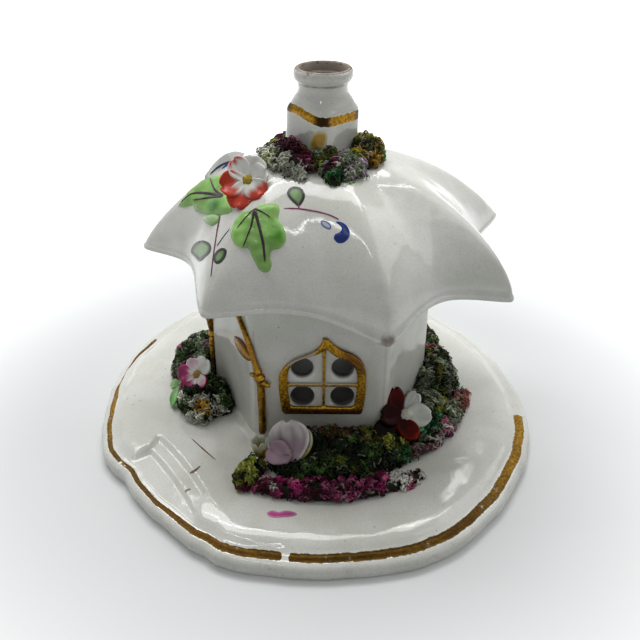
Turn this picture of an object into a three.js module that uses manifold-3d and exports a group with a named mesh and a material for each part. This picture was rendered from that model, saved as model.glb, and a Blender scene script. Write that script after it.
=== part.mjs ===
// A porcelain cottage pastille burner: a six-sided hollow cottage with a scalloped six-point roof and
// an open chimney, luted to a round base, and encrusted with shredded-clay moss, flowers and leaves.
// Millimetres, +Z up. The origin is the centre of the base's underside. -Y is the window side.
import * as THREE from "three";
import { mergeVertices } from "three/addons/utils/BufferGeometryUtils.js";
import Module from "manifold-3d";

const wasm = await Module();
wasm.setup();

// Driving dimensions: the whole and its levels
const GAP = 0.3; // clearance between a piece and the neighbour it is bedded on
const GROUND = 7.5; // level of the garden, where the walls stand
const WALL_TOP = 60; // flat joint between walls and roof
const ROOF_TOP = 85.5; // flat seat of the chimney
const TOTAL_HEIGHT = 110; // rim of the chimney pot
const COTTAGE_X = 1.8; // the cottage stands a little off the centre of its base
const COTTAGE_Y = 4.3;

// Driving dimensions: the base
const BASE_HALF_WIDTH = 67.4;
const BASE_HALF_DEPTH = 75.2;
const BASE_TWIST = 10; // degrees
const BASE_WALL = 4;
const FOOT_WIDTH = 5;
const RIM_HEIGHT = 5;
const RIM_ROLL = 13.5; // width of the rolled border between rim and garden
const BAY_AZIMUTH = -47; // degrees from the window side, negative to the left
const BAY_FRONT = 71.4; // the outline runs almost straight here, at this distance from the cottage's axis
// The potter's outline stands off that plan by so much: [degrees anticlockwise from +X, millimetres]
const OUTLINE_DRIFT = [
  [0, 0.4], [20, 0], [190, 0], [205, 1.7], [210, 1.2], [215, 0.3], [221, 1], [230, 1.6], [238, 1.1],
  [243, 1.6], [247, 0.7], [250, 1.2], [255, 0], [262, -1.2], [271, -1.6], [283, -1.3], [288, -0.7],
  [293, 0.2], [304, 0.35], [314, -0.2], [327, -0.4], [336, 0.4], [343, 0.8], [360, 0.4],
];
const STEPS_AZIMUTH = -55;
const STEPS_LEFT = -5.5; // sideways from the line through the cottage's axis
const STEPS_RIGHT = 25;
const STEPS_FLARE = 13; // the right side opens by this much towards the rim
const UPPER_TREAD_FROM = 54.8;
const LOWER_TREAD_FROM = 59.6;
const UPPER_TREAD_LEVEL = 6.4;
const LOWER_TREAD_LEVEL = 5.2;

// Driving dimensions: the walls
const FRONT_HALF_WIDTH = 19; // half the window face
const FACE_DISTANCE = 30; // from the axis to the window face
const CORNER_DISTANCE = 34.5; // from the axis to the side corners
const CORNER_RADIUS = 5;
const WALL_THICKNESS = 3.2;
const REAR_ARCH_WIDTH = 20;
const REAR_ARCH_HEIGHT = 27;
const REAR_SILL = 1.5; // of wall left under the rear arch

// Driving dimensions: the window
const WINDOW_SILL = 17.7;
const WINDOW_WIDTH = 25;
const WINDOW_SHOULDER = 11.5; // height of its straight sides above the sill
const WINDOW_HEIGHT = 25.8; // to the tip of the ogee
const WINDOW_X = 0.8; // off the face's centre
const WINDOW_TAPER = 0.9; // its sides lean in by this towards the sill
const WINDOW_MOULDING = 2.5;
const WINDOW_RELIEF = 1.1;
const BAR_WIDTH = 1.1;
const BAR_LEVEL = 10.1; // of the cross bar, above the sill
const UPRIGHT_X = 0.4; // of the upright bar, off the window's centre
const PANE_SPREAD = 5.8; // from the centre bar to a pane's centre
const LOWER_PANE = { level: 5.4, halfWidth: 3.45, halfHeight: 3.6 };
const UPPER_PANE = { level: 15.4, halfWidth: 3.2, halfHeight: 3.3 };

// Driving dimensions: the roof
const ROOF_THICKNESS = 2.6;
const ROOF_NECK = 12; // radius of the chimney's flat seat
const FLUE_RADIUS = 5.4;
const VALLEY_LEVEL = 57.5; // of the eave between two tips
const TIP_POWER = 2.1; // how pointed the eave is in plan
const TIP_BLUNTNESS = 0.025; // share of the way between two tips that the point is rounded over
const GROOVE_BULGE = 1.45; // of the roof along the groove between two ridges
const ROOF_RISE = 1.7; // how flat the roof starts out from the chimney
const ROOF_TIPS = [
  { azimuth: -98, reach: 55, level: 54, bulge: 1.15 },
  { azimuth: -41, reach: 47, level: 54.5, bulge: 1.2 },
  { azimuth: 20, reach: 50.5, level: 53.5, bulge: 1.9 },
  { azimuth: 65, reach: 58.5, level: 54, bulge: 1.5 },
  { azimuth: 115, reach: 63, level: 57, bulge: 1.1 },
  { azimuth: 186, reach: 56, level: 55, bulge: 1.4 },
];
const ROOF_VALLEYS = [39, 39.5, 45, 47, 44, 42]; // eave radius after each tip
const COLLAR_CLEAR = 0.5; // the roof's collar stands this far inside the walls' outer face

// Driving dimensions: the chimney
const STACK_HALF_SIDE = 8.4;
const STACK_TOP = 100; // where the square stack ends
const STACK_TURN = 45; // degrees: a corner of the stack faces the window side
const POT_NECK = 6.9;
const POT_RIM = 8.15;
const CHIMNEY_LEAN = 0.5; // the pot stands this far to the right of the stack's foot

// Driving dimensions: the twigs beside the door
const TWIG_RADIUS = 1.15;
const TWIG_KNOT = 2;

const GLAZE_WHITE = 0xe9e8e3;
const GILT = 0xb98a35;
const MOSS_GREEN = 0x4d5c3a;
const MOSS_YELLOW = 0x9a9440;
const MOSS_PINK = 0x9c4468;
const MOSS_MAROON = 0x6e1f38;
const MOSS_GREY = 0x8f9a8a;
const LEAF_GREEN = 0x6aa84a;

const part = new THREE.Group();
const cottage = new THREE.Group();
cottage.position.set(COTTAGE_X, COTTAGE_Y, 0);
part.add(cottage);

const radians = THREE.MathUtils.degToRad;

function addPiece(parent, name, geometry, color, roughness = 0.2, metalness = 0) {
  const material = new THREE.MeshStandardMaterial({ color, roughness, metalness });
  const mesh = new THREE.Mesh(geometry, material);
  mesh.name = name;
  parent.add(mesh);
  return mesh;
}

// Direction on the ground, turned from the window side towards +X.
function outward(azimuth) {
  return new THREE.Vector2(Math.sin(radians(azimuth)), -Math.cos(radians(azimuth)));
}

function solid(geometry) {
  const bare = geometry.clone();
  bare.deleteAttribute("normal");
  bare.deleteAttribute("uv");
  const merged = mergeVertices(bare, 1e-4);
  const mesh = new wasm.Mesh({
    numProp: 3,
    vertProperties: merged.attributes.position.array,
    triVerts: new Uint32Array(merged.index.array),
  });
  return new wasm.Manifold(mesh);
}

// Joins and cuts leave slivers; they are merged away within this distance.
const SLIVER = 0.02;

function geometryOf(body, detail = SLIVER) {
  const mesh = body.simplify(detail).getMesh();
  const geometry = new THREE.BufferGeometry();
  geometry.setAttribute("position", new THREE.BufferAttribute(mesh.vertProperties, 3));
  geometry.setIndex(new THREE.BufferAttribute(mesh.triVerts, 1));
  geometry.computeVertexNormals();
  return geometry;
}

// Skins equal rings of points: closed on itself, or with a flat-fanned cap on each end.
function skin(rings, closed = false) {
  const count = rings[0].length;
  const points = rings.flat();
  const index = [];
  const spans = closed ? rings.length : rings.length - 1;
  for (let i = 0; i < spans; i++) {
    const next = (i + 1) % rings.length;
    for (let j = 0; j < count; j++) {
      const k = (j + 1) % count;
      index.push(i * count + j, i * count + k, next * count + k);
      index.push(i * count + j, next * count + k, next * count + j);
    }
  }
  if (!closed) {
    const centre = (ring) =>
      ring.reduce((sum, p) => sum.add(p), new THREE.Vector3()).divideScalar(count);
    const first = points.push(centre(rings[0])) - 1;
    const last = points.push(centre(rings.at(-1))) - 1;
    const top = (rings.length - 1) * count;
    for (let j = 0; j < count; j++) {
      const k = (j + 1) % count;
      index.push(first, k, j);
      index.push(last, top + j, top + k);
    }
  }
  const geometry = new THREE.BufferGeometry().setFromPoints(points);
  geometry.setIndex(index);
  return geometry;
}

// A closed outline with its corners rounded by arcs.
function roundedShape(corners, radius, Kind = THREE.Shape) {
  const shape = new Kind();
  corners.forEach((corner, i) => {
    const before = corners[(i + corners.length - 1) % corners.length];
    const after = corners[(i + 1) % corners.length];
    const back = before.clone().sub(corner).normalize();
    const on = after.clone().sub(corner).normalize();
    const half = Math.acos(back.dot(on)) / 2;
    const centre = back.clone().add(on).normalize().multiplyScalar(radius / Math.sin(half)).add(corner);
    const start = back.multiplyScalar(radius / Math.tan(half)).add(corner).sub(centre);
    const end = on.multiplyScalar(radius / Math.tan(half)).add(corner).sub(centre);
    shape.absarc(centre.x, centre.y, radius, start.angle(), end.angle(), false);
  });
  shape.closePath();
  return shape;
}

// The walls' outline, moved outward by grow; anticlockwise from the window face's left corner.
function wallCorners(grow = 0) {
  const slope = Math.atan2(CORNER_DISTANCE - FRONT_HALF_WIDTH, FACE_DISTANCE);
  const side = CORNER_DISTANCE + grow / Math.cos(slope);
  const face = FACE_DISTANCE + grow;
  const front = side - face * Math.tan(slope);
  return [
    new THREE.Vector2(-front, -face),
    new THREE.Vector2(front, -face),
    new THREE.Vector2(side, 0),
    new THREE.Vector2(front, face),
    new THREE.Vector2(-front, face),
    new THREE.Vector2(-side, 0),
  ];
}

function wallShape(grow = 0, Kind = THREE.Shape) {
  return roundedShape(wallCorners(grow), CORNER_RADIUS + grow, Kind);
}

function prism(shape, from, to, curveSegments = 6) {
  const geometry = new THREE.ExtrudeGeometry(shape, { depth: to - from, bevelEnabled: false, curveSegments });
  geometry.translate(0, 0, from);
  return solid(geometry);
}

// The walls with a skin of clearance, which everything bedded on them is cut by.
const wallKeepOut = prism(wallShape(GAP), 0, WALL_TOP);

// The base: its outline is an oval cut straight in front of the steps
function outlineDrift(angle) {
  const turn = (THREE.MathUtils.radToDeg(angle) + 360) % 360;
  const i = OUTLINE_DRIFT.findIndex(([from], k) => turn >= from && turn < OUTLINE_DRIFT[k + 1][0]);
  const [from, start] = OUTLINE_DRIFT[i];
  const [to, end] = OUTLINE_DRIFT[i + 1];
  return THREE.MathUtils.mapLinear(turn, from, to, start, end);
}

function planRadius(angle) {
  const local = angle - radians(BASE_TWIST);
  const oval = 1 / Math.hypot(Math.cos(local) / BASE_HALF_WIDTH, Math.sin(local) / BASE_HALF_DEPTH);
  const way = outward(BAY_AZIMUTH);
  const facing = Math.cos(angle) * way.x + Math.sin(angle) * way.y;
  if (facing < 0.5) return oval;
  const straight = (BAY_FRONT + COTTAGE_X * way.x + COTTAGE_Y * way.y) / facing;
  const sharpness = 30; // of the smooth minimum of oval and straight cut
  return (oval ** -sharpness + straight ** -sharpness) ** (-1 / sharpness);
}

function baseOutline(inset, level, count = 72) {
  return Array.from({ length: count }, (_, i) => {
    const angle = (2 * Math.PI * i) / count;
    const radius = planRadius(angle) + outlineDrift(angle) - inset;
    return new THREE.Vector3(radius * Math.cos(angle), radius * Math.sin(angle), level);
  });
}

function makeBase() {
  const edge = RIM_HEIGHT;
  const section = [
    [FOOT_WIDTH + 2.2, GROUND - BASE_WALL],
    [FOOT_WIDTH + 1, 0],
    [1, 0],
    [0, 0.5 * edge],
    [0.7, 0.82 * edge],
    [2, 0.96 * edge],
    [4, edge],
    [5.2, edge + 0.25 * (GROUND - edge)],
    [7.2, edge + 0.68 * (GROUND - edge)],
    [10, edge + 0.93 * (GROUND - edge)],
    [RIM_ROLL, GROUND],
  ];
  const shell = solid(skin(section.map(([inset, level]) => baseOutline(inset, level))));
  return shell.subtract(stepsCut());
}

// A tread is a level cut from its riser out past the rim. Plan x runs outward, plan y sideways.
function treadCut(from, inset, level) {
  const far = BAY_FRONT + 20;
  const left = STEPS_LEFT + inset;
  const right = STEPS_RIGHT - inset;
  const plan = new THREE.Shape([
    new THREE.Vector2(from, left),
    new THREE.Vector2(far, left + 2),
    new THREE.Vector2(far, right + 2 * STEPS_FLARE),
    new THREE.Vector2(BAY_FRONT - 7, right + STEPS_FLARE - 3),
    new THREE.Vector2(from + 4, right + 3),
    new THREE.Vector2(from, right),
  ]);
  const geometry = new THREE.ExtrudeGeometry(plan, { depth: 10, bevelEnabled: false });
  geometry.rotateZ(radians(STEPS_AZIMUTH - 90));
  geometry.translate(COTTAGE_X, COTTAGE_Y, level);
  return solid(geometry);
}

function stepsCut() {
  const upper = treadCut(UPPER_TREAD_FROM, 0, UPPER_TREAD_LEVEL);
  return upper.add(treadCut(LOWER_TREAD_FROM, 1, LOWER_TREAD_LEVEL));
}

addPiece(part, "base_plinth", geometryOf(makeBase()), GLAZE_WHITE);

// The walls
function ellipseCutter(x, z, halfWidth, halfHeight) {
  const shape = new THREE.Shape().absellipse(x, z, halfWidth, halfHeight, 0, 2 * Math.PI);
  const geometry = new THREE.ExtrudeGeometry(shape, {
    depth: 2 * WALL_THICKNESS + 4,
    bevelEnabled: false,
    curveSegments: 12,
  });
  geometry.rotateX(Math.PI / 2);
  geometry.translate(0, WALL_THICKNESS + 2 - FACE_DISTANCE, 0);
  return solid(geometry);
}

function paneCutters() {
  return [LOWER_PANE, UPPER_PANE].flatMap((pane) =>
    [-1, 1].map((side) => ({
      x: WINDOW_X + side * PANE_SPREAD,
      z: WINDOW_SILL + pane.level,
      ...pane,
    })),
  );
}

function rearArch() {
  const half = REAR_ARCH_WIDTH / 2;
  const sill = GROUND + REAR_SILL;
  const spring = sill + REAR_ARCH_HEIGHT - half;
  const shape = new THREE.Shape();
  shape.moveTo(-half, sill);
  shape.lineTo(half, sill);
  shape.lineTo(half, spring);
  shape.absarc(0, spring, half, 0, Math.PI, false);
  shape.closePath();
  const geometry = new THREE.ExtrudeGeometry(shape, {
    depth: 2 * WALL_THICKNESS + 4,
    bevelEnabled: false,
    curveSegments: 20,
  });
  geometry.rotateX(Math.PI / 2);
  geometry.translate(0, FACE_DISTANCE + WALL_THICKNESS, 0);
  return solid(geometry);
}

function makeWalls() {
  const shape = wallShape();
  shape.holes.push(wallShape(-WALL_THICKNESS, THREE.Path));
  let walls = prism(shape, GROUND, WALL_TOP);
  for (const pane of paneCutters()) {
    walls = walls.subtract(ellipseCutter(pane.x, pane.z, pane.halfWidth, pane.halfHeight));
  }
  return walls.subtract(rearArch());
}

addPiece(cottage, "cottage_walls", geometryOf(makeWalls()), GLAZE_WHITE);

// The window: a gilt moulding with a cross of glazing bars. Its sides bulge, and its shoulders climb to
// a small ogee point. The left shoulder is lower outside, so the moulding thins out there. Each corner
// of the two curves on a side is [share of the half width, share of the rise].
const RIGHT_SHOULDER = [[1, 0.36], [0.9, 0.6], [0.5, 0.72], [0.3, 0.78], [0.22, 0.9], [0.1, 1]];
const LEFT_OUTSIDE = [[1, 0.25], [0.8, 0.45], [0.5, 0.57], [0.2, 0.68], [0.02, 0.76], [0, 1]];
const LEFT_OPENING = [[1, 0.4], [0.9, 0.6], [0.5, 0.72], [0.25, 0.78], [0.03, 0.84], [0, 1]];

function ogee(inset, leftShoulder, Kind = THREE.Shape) {
  const half = WINDOW_WIDTH / 2 - inset;
  const foot = half - WINDOW_TAPER;
  const sill = WINDOW_SILL + inset;
  const shoulder = WINDOW_SILL + WINDOW_SHOULDER;
  const rise = WINDOW_SILL + WINDOW_HEIGHT - 1.3 * inset - shoulder;
  const at = (side, [out, up]) => new THREE.Vector2(side * half * out, shoulder + rise * up);
  const shape = new Kind();
  shape.moveTo(1 - foot, sill);
  shape.lineTo(foot - 1, sill);
  shape.quadraticCurveTo(foot, sill, foot + 0.1, sill + 1);
  shape.quadraticCurveTo(half, sill + 5, half, shoulder);
  const right = RIGHT_SHOULDER.map((corner) => at(1, corner));
  shape.bezierCurveTo(right[0].x, right[0].y, right[1].x, right[1].y, right[2].x, right[2].y);
  shape.bezierCurveTo(right[3].x, right[3].y, right[4].x, right[4].y, right[5].x, right[5].y);
  const left = leftShoulder.map((corner) => at(-1, corner)).reverse();
  shape.lineTo(left[0].x, left[0].y);
  shape.bezierCurveTo(left[1].x, left[1].y, left[2].x, left[2].y, left[3].x, left[3].y);
  shape.bezierCurveTo(left[4].x, left[4].y, left[5].x, left[5].y, -half, shoulder);
  shape.quadraticCurveTo(-half, sill + 5, -foot - 0.1, sill + 1);
  shape.quadraticCurveTo(-foot, sill, 1 - foot, sill);
  return shape;
}

function onWindowFace(shape, thickness) {
  const geometry = new THREE.ExtrudeGeometry(shape, {
    depth: thickness,
    bevelEnabled: false,
    curveSegments: 7,
  });
  geometry.rotateX(Math.PI / 2);
  geometry.translate(WINDOW_X, -FACE_DISTANCE, 0);
  return solid(geometry);
}

function bar(x0, z0, x1, z1) {
  return new THREE.Shape([
    new THREE.Vector2(x0, z0),
    new THREE.Vector2(x1, z0),
    new THREE.Vector2(x1, z1),
    new THREE.Vector2(x0, z1),
  ]);
}

function makeWindowFrame() {
  const ring = ogee(0, LEFT_OUTSIDE);
  ring.holes.push(ogee(WINDOW_MOULDING, LEFT_OPENING, THREE.Path));
  const within = onWindowFace(ogee(WINDOW_MOULDING / 2, LEFT_OUTSIDE), WINDOW_RELIEF);
  const half = WINDOW_WIDTH / 2;
  const level = WINDOW_SILL + BAR_LEVEL;
  const left = UPRIGHT_X - BAR_WIDTH / 2;
  const upright = bar(left, WINDOW_SILL + 1, left + BAR_WIDTH, WINDOW_SILL + WINDOW_HEIGHT);
  const across = bar(-half, level - BAR_WIDTH / 2, half, level + BAR_WIDTH / 2);
  const bars = onWindowFace(upright, 0.7 * WINDOW_RELIEF).add(onWindowFace(across, 0.7 * WINDOW_RELIEF));
  return onWindowFace(ring, WINDOW_RELIEF).add(bars.intersect(within));
}

addPiece(cottage, "window_frame", geometryOf(makeWindowFrame()), GILT, 0.3, 1);

// The roof: each azimuth has an eave point, and the surface runs from it up to the neck
function eaveAt(azimuth) {
  for (let i = 0; i < ROOF_TIPS.length; i++) {
    const tip = ROOF_TIPS[i];
    const next = ROOF_TIPS[(i + 1) % ROOF_TIPS.length];
    const span = (next.azimuth - tip.azimuth + 360) % 360;
    const past = (azimuth - tip.azimuth + 720) % 360;
    if (past > span) continue;
    const share = past / span;
    const blunted = (d) => Math.max(0, 1 - 2 * Math.hypot(d, TIP_BLUNTNESS));
    const ridge = (blunted(Math.min(share, 1 - share)) / blunted(0)) ** TIP_POWER;
    const reach = tip.reach + (next.reach - tip.reach) * share;
    const level = tip.level + (next.level - tip.level) * share;
    return {
      ridge,
      radius: ROOF_VALLEYS[i] + (reach - ROOF_VALLEYS[i]) * ridge,
      level: VALLEY_LEVEL + (level - VALLEY_LEVEL) * ridge,
      bulge: GROOVE_BULGE + (tip.bulge + (next.bulge - tip.bulge) * share - GROOVE_BULGE) * ridge ** 0.6,
    };
  }
  return undefined;
}

// The roof's outer surface: share 0 is the neck and 1 the eave. Ridges bulge more than valleys.
function roofPoint(azimuth, share, sink = 0, draw = 0) {
  const eave = eaveAt(azimuth);
  const radius = ROOF_NECK + (eave.radius - draw - ROOF_NECK) * share;
  const fall = 1 - (1 - share ** ROOF_RISE) ** (1 / eave.bulge);
  const level = ROOF_TOP - (ROOF_TOP - eave.level) * fall - sink;
  const way = outward(azimuth);
  return new THREE.Vector3(radius * way.x, radius * way.y, level);
}

// Azimuths crowd together at the tips, so that the points stay crisp.
function roofAzimuths(perSpan = 7) {
  return ROOF_TIPS.flatMap((tip, i) => {
    const next = ROOF_TIPS[(i + 1) % ROOF_TIPS.length];
    const span = (next.azimuth - tip.azimuth + 360) % 360;
    return Array.from({ length: perSpan }, (_, k) => {
      const even = k / perSpan;
      const eased = even - 0.1 * Math.sin(2 * Math.PI * even);
      return tip.azimuth + span * eased;
    });
  });
}

function roofRing(share, sink, draw) {
  return roofAzimuths().map((azimuth) => roofPoint(azimuth, share, sink, draw));
}

function circleRing(radius, level) {
  return roofAzimuths().map((azimuth) => {
    const way = outward(azimuth).multiplyScalar(radius);
    return new THREE.Vector3(way.x, way.y, level);
  });
}

const OUTER_SHARES = [0, 0.15, 0.3, 0.45, 0.6, 0.73, 0.84, 0.92, 0.97, 1];
const EAVE_EDGE = 1.5; // depth of the blunt edge under the eave

// Everything under the roof's outer surface, lifted by grow: what lies on the roof is cut by it.
function roofMass(grow) {
  const bottom = [circleRing(ROOF_NECK, WALL_TOP / 2), roofRing(1, WALL_TOP / 3, 0)];
  const rise = OUTER_SHARES.toReversed().map((share) => roofRing(share, -grow, -grow));
  return solid(skin([...bottom, ...rise]));
}

function makeRoof() {
  const outer = OUTER_SHARES.map((share) => roofRing(share, 0, 0));
  const underShares = [0.95, 0.84, 0.68, 0.48, 0.26, 0.04];
  const lip = [roofRing(1, EAVE_EDGE, 0.5), roofRing(1, EAVE_EDGE + 0.3, 1.6)];
  const under = underShares.map((share) => roofRing(share, ROOF_THICKNESS, 1.2));
  const flue = [circleRing(FLUE_RADIUS, ROOF_TOP - ROOF_THICKNESS), circleRing(FLUE_RADIUS, ROOF_TOP)];
  const shell = solid(skin([...outer, ...lip, ...under, ...flue].reverse(), true));
  const collarShape = wallShape(-COLLAR_CLEAR);
  collarShape.holes.push(wallShape(-WALL_THICKNESS, THREE.Path));
  const collar = prism(collarShape, WALL_TOP, ROOF_TOP).intersect(roofMass(-0.5 * ROOF_THICKNESS));
  return shell.add(collar);
}

addPiece(cottage, "roof", geometryOf(makeRoof()), GLAZE_WHITE);

// The chimney: a square stack that rounds off into a pot with a rolled rim
function chimneyRing(halfSide, squareness, level, count = 28) {
  return Array.from({ length: count }, (_, i) => {
    const angle = (2 * Math.PI * i) / count;
    const power = squareness;
    const spread = (Math.abs(Math.cos(angle)) ** power + Math.abs(Math.sin(angle)) ** power) ** (1 / power);
    const radius = halfSide / spread;
    const turned = angle + radians(STACK_TURN);
    const lean = (CHIMNEY_LEAN * (level - ROOF_TOP)) / (TOTAL_HEIGHT - ROOF_TOP);
    return new THREE.Vector3(radius * Math.cos(turned) + lean, radius * Math.sin(turned), level);
  });
}

function makeChimney() {
  const square = 5;
  const round = 2;
  const rim = TOTAL_HEIGHT;
  const neck = (STACK_TOP + rim) / 2;
  const rings = [
    chimneyRing(FLUE_RADIUS, round, ROOF_TOP),
    chimneyRing(STACK_HALF_SIDE, square, ROOF_TOP),
    chimneyRing(STACK_HALF_SIDE - 0.3, square, STACK_TOP - 3),
    chimneyRing(STACK_HALF_SIDE - 0.5, square, STACK_TOP - 0.5),
    chimneyRing(STACK_HALF_SIDE - 1, 4, STACK_TOP + 0.8),
    chimneyRing(POT_NECK + 0.5, 2.6, STACK_TOP + 2.2),
    chimneyRing(POT_NECK, round, neck - 0.8),
    chimneyRing(POT_NECK + 0.2, round, rim - 3.8),
    chimneyRing(POT_RIM - 0.3, round, rim - 2.9),
    chimneyRing(POT_RIM, round, rim - 1.8),
    chimneyRing(POT_RIM - 0.3, round, rim - 0.6),
    chimneyRing(POT_RIM - 0.9, round, rim),
    chimneyRing(FLUE_RADIUS + 1.2, round, rim - 0.3),
    chimneyRing(FLUE_RADIUS + 0.3, round, rim - 2.6),
    chimneyRing(FLUE_RADIUS, round, neck - 0.8),
  ];
  return solid(skin(rings, true));
}

const chimney = makeChimney();
addPiece(cottage, "chimney", geometryOf(chimney), GLAZE_WHITE);

// The twigs and the leaf bud beside the door lie on the walls.
// A run along the walls starts at the window face's left corner, positive towards the window.
function onWall(run, level, lift) {
  const corners = wallCorners(lift);
  const corner = corners[0];
  const toward = run >= 0 ? corners[1] : corners[5];
  const way = toward.clone().sub(corner);
  const share = Math.abs(run) / way.length();
  if (run < 0 && share > 1) {
    const beyond = corners[4].clone().sub(corners[5]);
    const rest = (share - 1) * way.length();
    return new THREE.Vector3(...corners[5].clone().addScaledVector(beyond.normalize(), rest), level);
  }
  const point = corner.clone().addScaledVector(way, share);
  return new THREE.Vector3(point.x, point.y, level);
}

function tube(points, radius, steps, sides = 8) {
  const section = new THREE.Shape().absarc(0, 0, radius, 0, 2 * Math.PI);
  const path = new THREE.CatmullRomCurve3(points);
  const geometry = new THREE.ExtrudeGeometry(section, {
    steps,
    extrudePath: path,
    bevelEnabled: false,
    curveSegments: sides / 2,
  });
  return solid(geometry);
}

function ball(radius, at, stretch = [1, 1, 1], segments = 10) {
  const geometry = new THREE.SphereGeometry(radius, segments, Math.ceil(segments * 0.6));
  geometry.scale(...stretch);
  geometry.translate(at.x, at.y, at.z);
  return solid(geometry);
}

function twigBody({ route, knot, stub }, grow = 0) {
  const lift = TWIG_RADIUS * 0.6;
  const radius = TWIG_RADIUS + grow;
  const points = route.map(([run, level]) => onWall(run, level, lift));
  const knotAt = onWall(...knot, lift);
  const branch = tube([knotAt, onWall(...stub, lift + 0.5)], 0.9 * radius, 1);
  return tube(points, radius, 15).add(ball(0.85 * TWIG_KNOT + grow, knotAt)).add(branch);
}

// Each twig's route is a list of [run along the walls, level].
const RIGHT_TWIG = {
  route: [[2.4, GROUND + 2.5], [2.5, 18], [2.3, 29], [1, 35], [-2.5, 42], [-8.5, 46.5], [-16.2, 52]],
  knot: [2.3, 29],
  stub: [5.4, 27.8],
};
const LEFT_TWIG = {
  route: [[-33, GROUND + 2.5], [-34.4, 16], [-36, 24], [-35, 31], [-31.5, 38], [-25, 46], [-18.4, 52]],
  knot: [-36, 24],
  stub: [-33.4, 22.5],
};

for (const [name, twig] of [["door_twig_right", RIGHT_TWIG], ["door_twig_left", LEFT_TWIG]]) {
  addPiece(cottage, name, geometryOf(twigBody(twig).subtract(wallKeepOut)), GILT, 0.3, 1);
}

// Leaves and petals share one outline: a teardrop with its stalk at the origin, along +X
function leafShape(length, width, lobes = 0) {
  const shape = new THREE.Shape();
  const side = (sign) => {
    const count = 14;
    return Array.from({ length: count - 1 }, (_, i) => {
      const along = (i + 1) / count;
      const swell = Math.sin(Math.PI * along ** 0.8) * (1 + 0.16 * lobes * Math.sin(3 * Math.PI * along));
      return new THREE.Vector2(length * along, (sign * width * swell) / 2);
    });
  };
  shape.moveTo(0, 0);
  side(-1).forEach((p) => shape.lineTo(p.x, p.y));
  shape.lineTo(length, 0);
  side(1).reverse().forEach((p) => shape.lineTo(p.x, p.y));
  return shape;
}

function makeBud() {
  const geometry = new THREE.ExtrudeGeometry(leafShape(9.5, 3.4), { depth: 1.4, bevelEnabled: false });
  const base = onWall(-2.6, 37.6, GAP);
  const along = onWall(-12, 38.2, GAP).sub(base).normalize();
  const normal = new THREE.Vector3(0, 0, 1).cross(along).normalize();
  const frame = new THREE.Matrix4().makeBasis(along, normal.clone().cross(along), normal);
  frame.setPosition(base);
  return solid(geometry.applyMatrix4(frame));
}

addPiece(cottage, "door_leaf_bud", geometryOf(makeBud().subtract(wallKeepOut)), GILT, 0.4, 1);

// A spot on the roof's outer surface, with the direction it faces
function roofSpot(azimuth, radius) {
  const shareAt = (a) => (radius - ROOF_NECK) / (eaveAt(a).radius - ROOF_NECK);
  const point = roofPoint(azimuth, shareAt(azimuth));
  const across = roofPoint(azimuth + 2, shareAt(azimuth + 2)).sub(point);
  const down = roofPoint(azimuth, shareAt(azimuth) + 0.03).sub(point);
  return { point, normal: down.cross(across).normalize() };
}

// A spot beside the walls, facing outward and up.
function gardenSpot(azimuth, radius, level, faces, tilt) {
  const way = outward(azimuth).multiplyScalar(radius);
  const look = outward(faces).multiplyScalar(Math.cos(radians(tilt)));
  return {
    point: new THREE.Vector3(way.x, way.y, level),
    normal: new THREE.Vector3(look.x, look.y, Math.sin(radians(tilt))),
  };
}

function placed(geometry, { point, normal }, spin = 0) {
  const turn = new THREE.Quaternion().setFromUnitVectors(new THREE.Vector3(0, 0, 1), normal);
  return geometry.rotateZ(radians(spin)).applyQuaternion(turn).translate(point.x, point.y, point.z);
}

// One ring of a flower: its petals are the lobes of the ring
function petalRing(radius, petals, level, ruffle) {
  const count = petals * 6;
  return Array.from({ length: count }, (_, i) => {
    const angle = (2 * Math.PI * i) / count;
    const lobe = Math.abs(Math.cos((petals * angle) / 2)) ** 0.6;
    const reach = radius * (1 - ruffle + ruffle * lobe);
    const lift = level * (1 + 0.6 * ruffle * (1 - lobe));
    return new THREE.Vector3(reach * Math.cos(angle), reach * Math.sin(angle), lift);
  });
}

const PETAL_THICKNESS = 0.9;

function flowerCup({ radius, depth, petals }) {
  const t = PETAL_THICKNESS;
  return skin([
    petalRing(0.16 * radius, petals, 0, 0),
    petalRing(0.5 * radius, petals, 0.16 * depth, 0.08),
    petalRing(0.82 * radius, petals, 0.55 * depth, 0.25),
    petalRing(radius, petals, depth, 0.36),
    petalRing(radius - 0.5 * t, petals, depth + 0.5 * t, 0.36),
    petalRing(0.76 * radius, petals, 0.55 * depth + t, 0.25),
    petalRing(0.46 * radius, petals, 0.16 * depth + t, 0.08),
    petalRing(0.14 * radius, petals, t, 0),
  ]);
}

// The room a flower takes, with clearance: the moss and leaves around it are cut by this.
function flowerRoom({ radius, depth, petals, spot, spin }) {
  const g = GAP;
  const rings = [
    petalRing(0.2 * radius + g, petals, -g, 0),
    petalRing(0.5 * radius + g, petals, 0.16 * depth - g, 0),
    petalRing(0.82 * radius + g, petals, 0.55 * depth - g, 0),
    petalRing(radius + g, petals, depth - g, 0),
    petalRing(radius + g, petals, depth + 6, 0),
  ];
  return solid(placed(skin(rings), spot, spin));
}

function flowerHeart({ radius, depth, spot, spin }) {
  const heart = new THREE.SphereGeometry(0.24 * radius, 8, 6);
  heart.scale(1, 1, 0.75);
  heart.translate(0, 0, PETAL_THICKNESS + GAP + 0.18 * radius + 0.02 * depth);
  return heart;
}

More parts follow.
